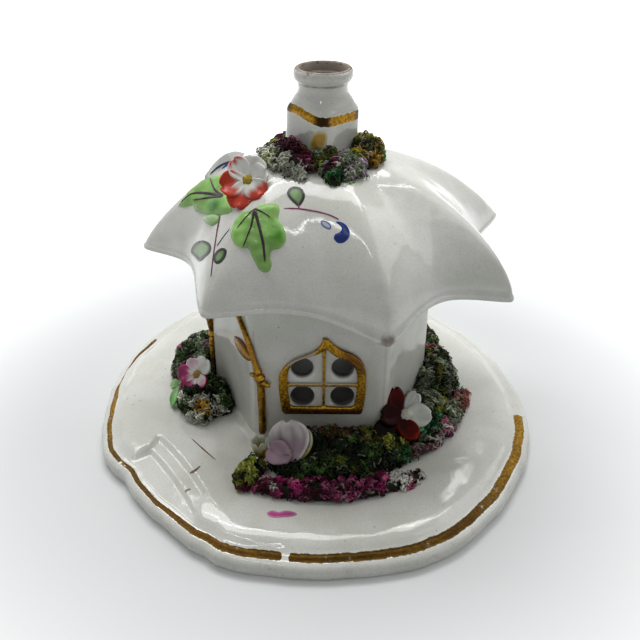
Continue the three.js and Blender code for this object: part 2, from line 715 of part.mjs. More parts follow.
const FLOWERS = [
  {
    name: "flower_roof",
    spot: roofSpot(-54, 23),
    radius: 7,
    depth: 3.2,
    petals: 5,
    spin: 20,
    color: 0xd9503a,
  },
  {
    name: "flower_left",
    spot: gardenSpot(-74, 39.5, 17.5, -35, 40),
    radius: 6,
    depth: 2.8,
    petals: 5,
    spin: 0,
    color: 0xc56f9a,
  },
  {
    name: "flower_front",
    spot: gardenSpot(-10, 39.5, 13.5, -50, 42),
    radius: 7.2,
    depth: 4.8,
    petals: 5,
    spin: 10,
    color: 0xe2cfda,
  },
  {
    name: "flower_right",
    spot: gardenSpot(42, 37.5, 13.5, 20, 50),
    radius: 7.6,
    depth: 3.4,
    petals: 5,
    spin: 30,
    color: 0x8a1f22,
  },
  {
    name: "blossom_bud",
    spot: gardenSpot(-23.8, 43.6, 10.2, -40, 80),
    radius: 2.6,
    depth: 3.6,
    petals: 5,
    closed: true,
    spin: 0,
    color: 0xe6df9a,
  },
];

const roofKeepOut = roofMass(GAP);

function makeFlower(flower) {
  const cup = solid(placed(flowerCup(flower), flower.spot, flower.spin));
  const clear = cup.subtract(wallKeepOut);
  return flower.name === "flower_roof" ? clear.subtract(roofKeepOut) : clear;
}

function makeHeart(flower) {
  const heart = solid(placed(flowerHeart(flower), flower.spot, flower.spin));
  const along = flower.spot.normal.clone().multiplyScalar(GAP);
  const cup = flowerCup(flower);
  const raised = solid(placed(cup, flower.spot, flower.spin).translate(along.x, along.y, along.z));
  return heart.subtract(raised);
}

for (const flower of FLOWERS) {
  addPiece(cottage, flower.name, geometryOf(makeFlower(flower)), flower.color);
  if (flower.closed) continue; // it shows no heart
  addPiece(cottage, `${flower.name}_heart`, geometryOf(makeHeart(flower)), 0xcfae3c);
}

const flowerRooms = FLOWERS.map(flowerRoom).reduce((all, room) => all.add(room));

// Leaves: a lobed outline pressed onto the roof, or onto the moss
function lobedLeaf(length, width, lobes) {
  const count = 32;
  const points = Array.from({ length: count }, (_, i) => {
    const angle = (2 * Math.PI * i) / count;
    const reach = 1 + 0.15 * Math.cos(lobes * angle);
    return new THREE.Vector2((length / 2) * reach * Math.cos(angle), (width / 2) * reach * Math.sin(angle));
  });
  return new THREE.Shape(points);
}

const LEAF_THICKNESS = 1.1;
const leafLayer = roofMass(GAP + LEAF_THICKNESS).subtract(roofKeepOut);

function makeRoofLeaf(azimuth, radius, length, width, spin) {
  const spot = roofSpot(azimuth, radius);
  const reach = 7;
  const geometry = new THREE.ExtrudeGeometry(lobedLeaf(length, width, 5), {
    depth: 2 * reach,
    bevelEnabled: false,
  });
  geometry.translate(0, 0, -reach);
  const block = solid(placed(geometry, spot, spin));
  return block.intersect(leafLayer).subtract(flowerRooms);
}

addPiece(cottage, "leaf_roof_left", geometryOf(makeRoofLeaf(-84, 31.5, 17, 13.5, 160)), LEAF_GREEN);
addPiece(cottage, "leaf_roof_right", geometryOf(makeRoofLeaf(-35, 33, 18, 15.5, 100)), LEAF_GREEN);

function makeGardenLeaf() {
  const geometry = new THREE.ExtrudeGeometry(lobedLeaf(9, 6.5, 3), {
    depth: LEAF_THICKNESS,
    bevelEnabled: false,
  });
  const spot = gardenSpot(-76, 49, 14, -60, 45);
  return solid(placed(geometry, spot, 20)).subtract(flowerRooms);
}

const gardenLeaf = makeGardenLeaf();
addPiece(cottage, "leaf_left", geometryOf(gardenLeaf), LEAF_GREEN);

// Moss: a bank is a lumpy ridge along an arc, thinning out at both ends
function mossBank({ from, to, inner, outer, height, floor = GROUND }) {
  const steps = Math.max(5, Math.ceil((to - from) / 6));
  const across = 9;
  const rings = Array.from({ length: steps + 1 }, (_, i) => {
    const along = i / steps;
    const azimuth = from + (to - from) * along;
    const swell = 0.35 + 0.65 * Math.sin(Math.PI * (0.06 + 0.88 * along)) ** 0.5;
    const middle = (inner + outer) / 2;
    return Array.from({ length: across + 1 }, (_, k) => {
      const turn = (Math.PI * k) / across;
      const lump = 1 + 0.12 * Math.sin(2.1 * azimuth + 3.7 * k) + 0.07 * Math.sin(0.9 * azimuth * (k + 1));
      const radius = middle - ((outer - inner) / 2) * swell * Math.cos(turn);
      const level = floor + height * swell * Math.sin(turn) ** 0.55 * (k === 0 || k === across ? 0 : lump);
      const way = outward(azimuth).multiplyScalar(radius);
      return new THREE.Vector3(way.x, way.y, level);
    });
  });
  return solid(skin(rings));
}

// Banks start this far inside the walls' face and are cut back to it.
const UNDER_WALL = FACE_DISTANCE - 3;
const GARDEN_MOSS = [
  {
    name: "moss_front",
    from: -18,
    to: 35,
    inner: UNDER_WALL,
    spread: 20.5,
    height: 6,
    color: MOSS_GREEN,
  },
  {
    name: "moss_front_border",
    from: -19,
    to: 33,
    inner: FACE_DISTANCE + 21,
    spread: 27,
    height: 3.8,
    color: MOSS_PINK,
  },
  {
    name: "moss_front_left",
    from: -31.5,
    to: -20,
    inner: FACE_DISTANCE + 6,
    spread: 24.5,
    height: 5.5,
    color: MOSS_YELLOW,
  },
  {
    name: "moss_right_front",
    from: 37.5,
    to: 71,
    inner: UNDER_WALL,
    spread: 16,
    height: 7,
    color: MOSS_GREEN,
  },
  {
    name: "moss_right_border",
    from: 36,
    to: 82,
    inner: FACE_DISTANCE + 16.5,
    spread: 21,
    height: 3.4,
    color: MOSS_PINK,
  },
  {
    name: "moss_right_back",
    from: 73,
    to: 112,
    inner: UNDER_WALL,
    spread: 16,
    height: 9,
    color: MOSS_GREY,
  },
  {
    name: "moss_back_right",
    from: 114,
    to: 152,
    inner: UNDER_WALL,
    spread: 19,
    height: 7,
    color: MOSS_GREEN,
  },
  {
    name: "moss_back_left",
    from: 208,
    to: 239,
    inner: UNDER_WALL,
    spread: 20,
    height: 7,
    color: MOSS_GREEN,
  },
  {
    name: "moss_left_back",
    from: -119,
    to: -84,
    inner: UNDER_WALL,
    spread: 19,
    height: 10,
    color: MOSS_GREEN,
  },
  {
    name: "moss_left",
    from: -81,
    to: -52,
    inner: UNDER_WALL,
    spread: 19,
    height: 8.5,
    color: MOSS_GREEN,
  },
];

const twigRooms = twigBody(LEFT_TWIG, GAP).add(twigBody(RIGHT_TWIG, GAP));

for (const bank of GARDEN_MOSS) {
  const whole = mossBank({ ...bank, outer: FACE_DISTANCE + bank.spread });
  const moss = whole.subtract(wallKeepOut).subtract(flowerRooms).subtract(gardenLeaf);
  addPiece(cottage, bank.name, geometryOf(moss.subtract(twigRooms), 0.1), bank.color, 0.8);
}

const CHIMNEY_MOSS = [
  { name: "moss_chimney_left", from: -80, to: -8, color: MOSS_MAROON, outer: 16.5, height: 11 },
  { name: "moss_chimney_front", from: -3, to: 42, color: MOSS_GREEN, outer: 18, height: 8 },
  { name: "moss_chimney_right", from: 47, to: 110, color: MOSS_YELLOW, outer: 17.5, height: 11.5 },
  { name: "moss_chimney_back_right", from: 115, to: 185, color: MOSS_GREY, outer: 17, height: 10.5 },
  { name: "moss_chimney_back_left", from: 190, to: 275, color: MOSS_GREEN, outer: 17.5, height: 11 },
];

const stackKeepOut = solid(
  skin([
    chimneyRing(STACK_HALF_SIDE + GAP, 5, ROOF_TOP - 20),
    chimneyRing(STACK_HALF_SIDE + GAP, 5, ROOF_TOP),
    chimneyRing(STACK_HALF_SIDE + GAP, 5, TOTAL_HEIGHT),
  ]),
);

for (const bank of CHIMNEY_MOSS) {
  const whole = mossBank({ ...bank, inner: STACK_HALF_SIDE - 1, floor: ROOF_TOP - 5 });
  const moss = whole.subtract(stackKeepOut).subtract(roofKeepOut).subtract(flowerRooms);
  addPiece(cottage, bank.name, geometryOf(moss, 0.1), bank.color, 0.8);
}

export default part;
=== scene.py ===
# %% [markdown]
# # A porcelain cottage, dressed for the camera
# The real object is a hollow porcelain cottage on a round base, thickly glazed and gilded, and
# encrusted with shredded-clay moss, flowers and leaves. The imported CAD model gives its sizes. Each
# cell below takes one piece or one finish, says what it is on the real cottage, and builds it.

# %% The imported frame
from math import atan2, cos, pi, radians, sin

import bpy
import numpy as np
from mathutils import Matrix, Vector, noise
from mathutils.bvhtree import BVHTree
from mathutils.geometry import delaunay_2d_cdt


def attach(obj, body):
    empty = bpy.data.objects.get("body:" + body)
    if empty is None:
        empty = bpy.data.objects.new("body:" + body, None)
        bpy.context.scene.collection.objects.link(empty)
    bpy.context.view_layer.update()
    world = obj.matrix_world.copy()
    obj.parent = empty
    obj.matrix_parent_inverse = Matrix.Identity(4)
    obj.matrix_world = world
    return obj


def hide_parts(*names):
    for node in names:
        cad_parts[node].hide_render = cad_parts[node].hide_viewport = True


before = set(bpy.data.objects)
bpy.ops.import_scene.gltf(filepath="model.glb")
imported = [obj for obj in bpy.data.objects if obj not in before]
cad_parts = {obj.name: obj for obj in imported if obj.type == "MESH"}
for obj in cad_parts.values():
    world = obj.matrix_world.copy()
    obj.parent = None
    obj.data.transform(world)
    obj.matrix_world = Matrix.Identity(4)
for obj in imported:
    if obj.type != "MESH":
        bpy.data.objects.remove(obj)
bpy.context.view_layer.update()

MM = 0.001
COTTAGE = np.array([1.8, 4.3, 0.0])  # the cottage stands a little off the centre of its base
GROUND = 7.5  # levels in millimetres above the table
WALL_TOP = 60.0
ROOF_TOP = 85.5
FLUE_RADIUS = 5.4

# %% [markdown]
# ## The camera
# The photograph looks down on the cottage from a little above the chimney. The place, tilt and lens
# were worked out from the base's outline, the eaves and the window. A ray through any pixel can
# then be cast at a surface, and so painted details lie exactly where the photograph has them.

# %% Camera
CAMERA_AT = Vector((1.78, -217.85, 163.66)) * MM
LOOKS_DOWN = 30.78
ROLL = 0.4
IMAGE = 640  # pixels on each side
SENSOR = 36.0
LENS = 46.04
REACH = LENS / SENSOR * IMAGE  # how far off, in pixels, the picture would stand

camera = bpy.data.objects.new("camera", bpy.data.cameras.new("camera"))
bpy.context.scene.collection.objects.link(camera)
camera.data.sensor_width = SENSOR
camera.data.lens = LENS
camera.data.clip_start = 0.01
turned = Matrix.Rotation(radians(90 - LOOKS_DOWN), 4, "X") @ Matrix.Rotation(radians(ROLL), 4, "Z")
camera.matrix_world = Matrix.Translation(CAMERA_AT) @ turned
bpy.context.scene.camera = camera


def sight(px, py):
    """The direction from the camera through a pixel of the photograph."""
    return (turned.to_3x3() @ Vector((px - IMAGE / 2, IMAGE / 2 - py, -REACH))).normalized()


def pixels_of(places):
    """The pixels at which points, in millimetres, are seen."""
    local = (np.asarray(places) * MM - np.array(CAMERA_AT)) @ np.array(turned.to_3x3())
    return IMAGE / 2 + REACH * local[:, :2] * [1, -1] / -local[:, 2:]


print("camera looks along", [round(c, 3) for c in sight(320, 320)])

# %% [markdown]
# ## Floor, world and lamps
# The cottage was photographed on white paper, lit softly from above and behind, so its top faces
# are bright and its front is in quiet shade. Two long thin lamps draw the fine bright lines on the
# rolled border and the roof. The paper shows white to the camera, to reflections and through glass,
# and it still holds the object's shadow.

# %% Node helpers
scene = bpy.context.scene
scene.view_settings.view_transform = "Standard"


def link(tree, from_socket, to_socket):
    tree.links.new(from_socket, to_socket)


def feed(tree, socket, value):
    """Gives a socket a number or a colour, or links it to another socket."""
    if isinstance(value, (int, float, tuple)):
        socket.default_value = value
    else:
        link(tree, value, socket)


def maths(tree, operation, *values):
    """A Math node whose inputs are numbers or sockets."""
    node = tree.nodes.new("ShaderNodeMath")
    node.operation = operation
    for socket, value in zip(node.inputs, values):
        feed(tree, socket, value)
    return node.outputs[0]


def times(tree, first, second):
    return maths(tree, "MULTIPLY", first, second)


def plus(tree, first, second):
    return maths(tree, "ADD", first, second)


def ramp(tree, value, low, high, to_low=0.0, to_high=1.0):
    """value from low..high to to_low..to_high, eased at both ends."""
    node = tree.nodes.new("ShaderNodeMapRange")
    node.interpolation_type = "SMOOTHSTEP"
    labels = ("Value", "From Min", "From Max", "To Min", "To Max")
    for label, number in zip(labels, (value, low, high, to_low, to_high)):
        feed(tree, node.inputs[label], number)
    return node.outputs["Result"]


def seen_directly(tree):
    """1 for rays from the camera, off glossy surfaces or through glass, and 0 for light itself."""
    path = tree.nodes.new("ShaderNodeLightPath")
    glossy = maths(tree, "MAXIMUM", path.outputs["Is Camera Ray"], path.outputs["Is Glossy Ray"])
    return maths(tree, "MAXIMUM", glossy, path.outputs["Is Transmission Ray"])


def new_material(name):
    material = bpy.data.materials.new(name)
    material.use_nodes = True
    return material.node_tree, material.node_tree.nodes["Principled BSDF"], material


# %% World and floor
AMBIENT = 0.19  # light from all sides
world = bpy.data.worlds.new("white_room")
scene.world = world
world.use_nodes = True
tree = world.node_tree
background = tree.nodes["Background"]
background.inputs["Color"].default_value = (1, 1, 1, 1)
strength = plus(tree, times(tree, seen_directly(tree), 1 - AMBIENT), AMBIENT)
link(tree, strength, background.inputs["Strength"])

PAPER_GREY = (0.58, 0.60, 0.60, 1)
PAPER_ROUGHNESS = 0.7
PAPER_GLOW = 0.085  # keeps the paper near white in the view and leaves its shadow
PAPER_NEAR = 0.08  # metres from the cottage where the paper starts to fade into plain white
PAPER_FAR = 0.22
tree, shader, paper = new_material("paper")
shader.inputs["Base Color"].default_value = PAPER_GREY
shader.inputs["Roughness"].default_value = PAPER_ROUGHNESS
shader.inputs["Emission Color"].default_value = (1, 1, 1, 1)
away = tree.nodes.new("ShaderNodeVectorMath")
away.operation = "LENGTH"
link(tree, tree.nodes.new("ShaderNodeTexCoord").outputs["Object"], away.inputs[0])
fade = ramp(tree, away.outputs["Value"], PAPER_NEAR, PAPER_FAR, PAPER_GLOW, 1.0)
link(tree, times(tree, fade, seen_directly(tree)), shader.inputs["Emission Strength"])

FLOOR_HALF = 2.0  # metres
FLOOR_DROP = 0.0001
floor_mesh = bpy.data.meshes.new("paper_floor")
square = ((-1, -1), (1, -1), (1, 1), (-1, 1))
floor_corners = [(x * FLOOR_HALF, y * FLOOR_HALF, 0) for x, y in square]
floor_mesh.from_pydata(floor_corners, [], [(0, 1, 2, 3)])
floor = bpy.data.objects.new("paper_floor", floor_mesh)
floor.location.z = -FLOOR_DROP
scene.collection.objects.link(floor)
floor_mesh.materials.append(paper)
print("paper from", PAPER_NEAR, "to", PAPER_FAR, "m fades to white")

# %% Lamps
LAMPS = [  # name, place and aim in metres, width, depth, watts
    ("soft_behind", (-0.12, 0.47, 0.93), (0, 0, 0.03), 0.95, 0.62, 9.6),
    ("soft_right", (0.70, 0.16, 0.66), (0, 0, 0.04), 0.8, 0.6, 2.2),
    ("strip_behind", (-0.02, 0.33, 0.72), (0, 0, 0.04), 0.8, 0.03, 0.75),
    ("strip_front", (-0.28, -0.26, 0.74), (0, 0, 0.07), 0.42, 0.022, 0.5),
]
for name, at, aim, width, depth, watts in LAMPS:
    data = bpy.data.lights.new(name, "AREA")
    data.shape = "RECTANGLE"
    data.size = width
    data.size_y = depth
    data.energy = watts
    light = bpy.data.objects.new(name, data)
    scene.collection.objects.link(light)
    light.location = at
    light.rotation_euler = (Vector(aim) - Vector(at)).to_track_quat("-Z", "Y").to_euler()
print("lamps", [row[0] for row in LAMPS])

# %% [markdown]
# ## Shared finishes as node groups
# Porcelain glaze pools and ripples, traps dark kiln specks, and gilding wears thin on high places.
# Several materials share these effects, so each is one node group with named inputs and outputs.
# The groups put out only masks and heights; the shader stays in each material.

# %% Node group helper


def new_group(name, inputs, outputs):
    """An empty node group with float inputs {name: default} and float outputs."""
    group = bpy.data.node_groups.new(name, "ShaderNodeTree")
    for label, default in inputs.items():
        socket = group.interface.new_socket(label, in_out="INPUT", socket_type="NodeSocketFloat")
        socket.default_value = default
    for label in outputs:
        group.interface.new_socket(label, in_out="OUTPUT", socket_type="NodeSocketFloat")
    start = group.nodes.new("NodeGroupInput")
    end = group.nodes.new("NodeGroupOutput")
    return group, start.outputs, end.inputs


def object_place(tree):
    return tree.nodes.new("ShaderNodeTexCoord").outputs["Object"]


def noise_texture(tree, scale, detail=3.0, roughness=0.5):
    node = tree.nodes.new("ShaderNodeTexNoise")
    link(tree, object_place(tree), node.inputs["Vector"])
    for label, value in (("Scale", scale), ("Detail", detail), ("Roughness", roughness)):
        feed(tree, node.inputs[label], value)
    return node.outputs["Fac"]


# %% Glaze, specks and wear groups
glaze_flow, inputs, outputs = new_group(
    "glaze_flow", {"Pool Scale": 90.0, "Pit Scale": 1400.0}, ["Height", "Pooling"]
)
pools = noise_texture(glaze_flow, inputs["Pool Scale"], 2.0)
pits = noise_texture(glaze_flow, inputs["Pit Scale"], 2.0)
link(glaze_flow, plus(glaze_flow, pools, times(glaze_flow, pits, 0.05)), outputs["Height"])
link(glaze_flow, ramp(glaze_flow, pools, 0.35, 0.65), outputs["Pooling"])

kiln_specks, inputs, outputs = new_group(
    "kiln_specks", {"Speck Scale": 420.0, "Speck Size": 0.16, "Rarity": 0.37}, ["Specks"]
)
cells = kiln_specks.nodes.new("ShaderNodeTexVoronoi")
cells.inputs["Randomness"].default_value = 1.0
link(kiln_specks, object_place(kiln_specks), cells.inputs["Vector"])
link(kiln_specks, inputs["Speck Scale"], cells.inputs["Scale"])
dot = ramp(kiln_specks, cells.outputs["Distance"], inputs["Speck Size"], 0.02)
patchy = ramp(kiln_specks, noise_texture(kiln_specks, 45.0, 2.0), inputs["Rarity"], 0.75)
picks = kiln_specks.nodes.new("ShaderNodeSeparateColor")
link(kiln_specks, cells.outputs["Color"], picks.inputs[0])
chosen = maths(kiln_specks, "GREATER_THAN", picks.outputs[0], 0.55)
dark_dots = times(kiln_specks, times(kiln_specks, dot, chosen), patchy)
link(kiln_specks, dark_dots, outputs["Specks"])

gilt_wear, inputs, outputs = new_group(
    "gilt_wear", {"Cover": 1.0, "Raggedness": 0.35, "Wear": 0.3}, ["Gold", "Burnish"]
)
ragged = maths(gilt_wear, "SUBTRACT", noise_texture(gilt_wear, 700.0, 4.0, 0.65), 0.5)
edge = plus(gilt_wear, inputs["Cover"], times(gilt_wear, ragged, inputs["Raggedness"]))
film = ramp(gilt_wear, edge, 0.47, 0.55)
rubbed = ramp(gilt_wear, noise_texture(gilt_wear, 260.0, 6.0, 0.7), 0.60, 0.70)
kept = maths(gilt_wear, "SUBTRACT", 1.0, times(gilt_wear, rubbed, inputs["Wear"]))
link(gilt_wear, times(gilt_wear, film, kept), outputs["Gold"])
link(gilt_wear, noise_texture(gilt_wear, 1500.0, 4.0, 0.6), outputs["Burnish"])
print("node groups", [g.name for g in (glaze_flow, kiln_specks, gilt_wear)])

# %% [markdown]
# ## Materials
# Real porcelain is a white body under clear glaze: a glossy, faintly grey-green white with rare
# dark specks. One material serves every white face. It reads the masks that the meshes carry: gilt,
# where gold was brushed on; gilt_wear, where it is rubbed; dim_and_shade, where gold is brown or
# painted dark as shade; stain, for dirt in chips and painted shade at the base's lower rim
# and in the chimney; and soot, painted shade and soot inside the cottage. The enamels are
# painted over the glaze, so they take their colour from the mesh.

# %% Material helpers


def paint(code):
    """A colour written as hex, in the shader's own linear light."""
    channels = [int(code[i : i + 2], 16) / 255 for i in (0, 2, 4)]
    linear = [c / 12.92 if c <= 0.04045 else ((c + 0.055) / 1.055) ** 2.4 for c in channels]
    return (*linear, 1.0)


def tone(code):
    return np.array(paint(code))


def place_group(tree, group, **values):
    node = tree.nodes.new("ShaderNodeGroup")
    node.node_tree = group
    for label, value in values.items():
        feed(tree, node.inputs[label.replace("_", " ")], value)
    return node.outputs


def blend_colours(tree, factor, first, second, mode="MIX"):
    """Mixes two colours, each a tuple or a socket, by a factor."""
    node = tree.nodes.new("ShaderNodeMix")
    node.data_type = "RGBA"
    node.blend_type = mode
    for index, value in ((0, factor), (6, first), (7, second)):
        feed(tree, node.inputs[index], value)
    return node.outputs[2]


def carried(tree, name, output="Fac"):
    """A mask or colour that the mesh carries."""
    node = tree.nodes.new("ShaderNodeAttribute")
    node.attribute_name = name
    return node.outputs[output]


def bump(tree, height, depth, shader):
    node = tree.nodes.new("ShaderNodeBump")
    node.inputs["Strength"].default_value = 1.0
    node.inputs["Distance"].default_value = depth
    link(tree, height, node.inputs["Height"])
    link(tree, node.outputs["Normal"], shader.inputs["Normal"])


# %% Porcelain with its gilding
WHITE = paint("dadad4")
WHITE_POOLED = paint("cfd0c7")
SPECK = paint("4a4238")
GREY_GRAIN = paint("8f8d80")
STAIN_AND_SHADE = paint("5e4634")
SOOT_AND_SHADE = paint("16130f")
GOLD_BRIGHT = paint("b4881e")
GOLD_DARK = paint("5f4208")
GOLD_DIM_AND_SHADED = paint("1f1203")
GOLD_METAL = 0.95  # how metallic the gilding is

tree, shader, porcelain = new_material("glazed_porcelain")
flow = place_group(tree, glaze_flow, Pool_Scale=85.0)
specks = place_group(tree, kiln_specks)["Specks"]
cover, wear, dimmed_and_shaded = (carried(tree, label) for label in ("gilt", "gilt_wear", "dim_and_shade"))
gilding = place_group(tree, gilt_wear, Cover=cover, Raggedness=0.3, Wear=wear)
body = blend_colours(tree, flow["Pooling"], WHITE, WHITE_POOLED)
body = blend_colours(tree, times(tree, specks, 0.75), body, SPECK)
mottle = ramp(tree, noise_texture(tree, 1900.0, 3.0, 0.7), 0.42, 0.66)
body = blend_colours(tree, times(tree, mottle, 0.16), body, GREY_GRAIN)
uneven = times(tree, noise_texture(tree, 600.0, 5.0, 0.7), 0.5)
# stain: real dirt in chips, at the roof's points and on the steps, and painted shade on the base's
# lower rim and in the chimney's pot
grime_and_shade = ramp(tree, plus(tree, carried(tree, "stain"), uneven), 0.62, 0.95)
body = blend_colours(tree, times(tree, grime_and_shade, 0.8), body, STAIN_AND_SHADE)
# painted shade and soot inside the cottage
body = blend_colours(tree, carried(tree, "soot"), body, SOOT_AND_SHADE)
gold = blend_colours(tree, ramp(tree, gilding["Burnish"], 0.3, 0.75), GOLD_DARK, GOLD_BRIGHT)
# dim_and_shade darkens the gold: browner gold, and painted shade on the base's gold line in front
gold = blend_colours(tree, dimmed_and_shaded, gold, GOLD_DIM_AND_SHADED)
link(tree, blend_colours(tree, gilding["Gold"], body, gold), shader.inputs["Base Color"])
link(tree, times(tree, gilding["Gold"], GOLD_METAL), shader.inputs["Metallic"])
rough = plus(tree, 0.05, times(tree, flow["Pooling"], 0.03))
rough = plus(tree, rough, times(tree, gilding["Gold"], ramp(tree, dimmed_and_shaded, 0.0, 1.0, 0.22, 0.3)))
rough = plus(tree, rough, times(tree, carried(tree, "soot"), 0.7))
link(tree, plus(tree, rough, times(tree, grime_and_shade, 0.4)), shader.inputs["Roughness"])
bump(tree, flow["Height"], 0.00035, shader)

# %% Gilding over moulded clay
GOLD_HOLLOW = paint("4a2610")  # the brown edge of the gilding, in hollows
MOULDING_METAL = 0.85
tree, shader, gilding_material = new_material("worn_gilding")
bare = carried(tree, "bare")
cover = maths(tree, "SUBTRACT", 1.0, bare)
worn = place_group(tree, gilt_wear, Cover=cover, Raggedness=0.3, Wear=0.3)
gold = blend_colours(tree, ramp(tree, worn["Burnish"], 0.3, 0.75), GOLD_DARK, GOLD_BRIGHT)
gold = blend_colours(tree, carried(tree, "hollow"), gold, GOLD_HOLLOW)
rubbed_through = blend_colours(tree, bare, paint("8a6a3c"), paint("c2b7a6"))
link(tree, blend_colours(tree, worn["Gold"], rubbed_through, gold), shader.inputs["Base Color"])
link(tree, times(tree, worn["Gold"], MOULDING_METAL), shader.inputs["Metallic"])
link(tree, ramp(tree, worn["Burnish"], 0.3, 0.7, 0.26, 0.42), shader.inputs["Roughness"])
bump(tree, worn["Burnish"], 0.00012, shader)

# %% Enamels and moss


def glazed_clay(name, specular, pool_scale, pit_scale, rough, depth, shade=None):
    """Clay in its mesh's own colour, or near black as painted shade in a moss bed, glossier where
    the glaze is thin.
    """
    tree, shader, material = new_material(name)
    shader.inputs["Specular IOR Level"].default_value = specular
    flow = place_group(tree, glaze_flow, Pool_Scale=pool_scale, Pit_Scale=pit_scale)
    if shade is None:
        # a moss bed is painted near black, as the shade between its curls
        colour = blend_colours(tree, flow["Pooling"], paint("0a0d07"), paint("1d2114"))
    else:
        brushed = ramp(tree, flow["Pooling"], 0.0, 1.0, *shade)
        colour = blend_colours(tree, 1.0, carried(tree, "enamel", "Color"), brushed, "MULTIPLY")
    link(tree, colour, shader.inputs["Base Color"])
    link(tree, ramp(tree, flow["Pooling"], 0.0, 1.0, *rough), shader.inputs["Roughness"])
    bump(tree, flow["Height"], depth, shader)
    return material


enamel = glazed_clay("enamel", 0.16, 160.0, 2400.0, (0.12, 0.24), 0.0002, (0.82, 1.1))
deep_enamel = glazed_clay("deep_enamel", 0.04, 220.0, 2400.0, (0.1, 0.2), 0.0002, (0.7, 1.25))
moss = glazed_clay("moss_clay", 0.07, 900.0, 3600.0, (0.32, 0.6), 0.0003, (0.72, 1.15))
moss_bed_in_shade = glazed_clay("moss_bed_in_shade", 0.05, 600.0, 2600.0, (0.4, 0.65), 0.0006)
print("materials", [m.name for m in bpy.data.materials])

# %% [markdown]
# ## Mesh helpers
# Most of the cottage is a skin over rings of points: a ring is one level line round the piece, and
# neighbouring rings are joined by four-sided faces. That keeps every bulge and roll smooth. The
# points are worked out in millimetres with numpy, and become a mesh in metres.

# %% From points to a piece


def carry(mesh, **masks):
    """Gives a mesh float masks, each with one value for each point."""
    for label, values in masks.items():
        values = np.asarray(values, np.float32).ravel()
        mesh.attributes.new(label, "FLOAT", "POINT").data.foreach_set("value", values)


def linked_object(name, mesh, material):
    mesh.materials.append(material)
    piece = bpy.data.objects.new(name, mesh)
    scene.collection.objects.link(piece)
    return piece


def mesh_piece(name, points, faces, material, enamel_colours=None, **masks):
    """A smooth mesh object from points in millimetres, carrying its colours and masks."""
    mesh = bpy.data.meshes.new(name)
    mesh.from_pydata((np.asarray(points) * MM).tolist(), [], [list(f) for f in faces])
    carry(mesh, **masks)
    if enamel_colours is not None:
        layer = mesh.color_attributes.new("enamel", "FLOAT_COLOR", "POINT")
        layer.data.foreach_set("color", np.asarray(enamel_colours, np.float32).ravel())
    mesh.shade_smooth()
    return linked_object(name, mesh, material)


def points_of(piece):
    """The points of a piece's mesh, in millimetres."""
    return np.array([v.co[:] for v in piece.data.vertices]) / MM


def ring_faces(rings, count, closed=False):
    """Faces between equal rings that follow each other, wrapping to the first one if closed."""
    faces = []
    for i in range(rings if closed else rings - 1):
        here = i * count
        there = ((i + 1) % rings) * count
        for j in range(count):
            k = (j + 1) % count
            faces.append((here + j, here + k, there + k, there + j))
    return faces


def smooth_curve(points, samples, closed=False):
    """A Catmull-Rom curve through points, as an array of samples."""
    points = np.asarray(points, float)
    count = len(points)
    if closed:
        padded = np.vstack([points[-1], points, points[:2]])
        spans = count
    else:
        padded = np.vstack([2 * points[0] - points[1], points, 2 * points[-1] - points[-2]])
        spans = count - 1
    place_along = np.linspace(0, spans, samples, endpoint=not closed)
    index = np.minimum(place_along.astype(int), spans - 1)
    t = (place_along - index)[:, None]
    a, b, c, d = (padded[index + k] for k in range(4))
    second, third = 2 * a - 5 * b + 4 * c - d, 3 * b - a - 3 * c + d
    return 0.5 * (2 * b + (c - a) * t + second * t**2 + third * t**3)


# %% Finishing a piece


def bake(piece):
    """Applies the piece's modifiers."""
    evaluated = piece.evaluated_get(bpy.context.evaluated_depsgraph_get())
    mesh = bpy.data.meshes.new_from_object(evaluated)
    piece.modifiers.clear()
    piece.data = mesh
    mesh.shade_smooth()
    return piece


def finished(piece, slot_name, *nodes):
    """Lets the piece ride on the one body and stand for its CAD nodes."""
    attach(piece, "root")
    if nodes:
        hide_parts(*nodes)
    return piece


def surface_of(piece):
    """A tree of the piece's faces that rays can be cast at."""
    vertices = [piece.matrix_world @ v.co for v in piece.data.vertices]
    return BVHTree.FromPolygons(vertices, [tuple(p.vertices) for p in piece.data.polygons])


# %% Directions, fades and the walls' plan


def outward(azimuth):
    """The direction on the ground, turned from the window side towards +X."""
    return np.stack([np.sin(np.radians(azimuth)), -np.cos(np.radians(azimuth))], -1)


def unit(vectors):
    """Vectors scaled to length 1 along their last axis."""
    return vectors / np.linalg.norm(vectors, axis=-1, keepdims=True)


def full_circle(count):
    """Angles once round, without the last one, which is the first again."""
    return np.linspace(0, 2 * pi, count, endpoint=False)


def bell(distance, reach):
    """1 at no distance, fading to nothing a few reaches away."""
    return np.exp(-((distance / reach) ** 2))


def ease(value, low, high):
    """0 up to low, 1 from high on, and smooth between them."""
    t = np.clip((value - low) / (high - low), 0, 1)
    return t * t * (3 - 2 * t)


WALL_FACE = 30.0  # millimetres from the cottage's axis to the window's face
WALL_CORNER = 34.5  # and to the two corners at its sides
WALL_HALF = 19.0  # half the window face's width
WALL_SLOPE = atan2(WALL_CORNER - WALL_HALF, WALL_FACE)


def distance_to_walls(x, y):
    """From the walls' outer face, negative inside it; x and y are from the cottage's axis."""
    side = WALL_CORNER * cos(WALL_SLOPE)
    faces = [y - WALL_FACE, -y - WALL_FACE]
    for sx in (-1, 1):
        for sy in (-1, 1):
            faces.append(sx * x * cos(WALL_SLOPE) + sy * y * sin(WALL_SLOPE) - side)
    return np.max(faces, axis=0)


# %% [markdown]
# ## The base
# The base is a thick round slab with a rolled border, thrown or pressed in a mould, with two
# shallow steps cut in front of the door. Its section is turned around the outline as rings, close
# together where the border curves. The steps are then pressed into the height of each point, with
# soft edges, and a small fillet of slip rises to the foot of the walls. The gold line is a mask.

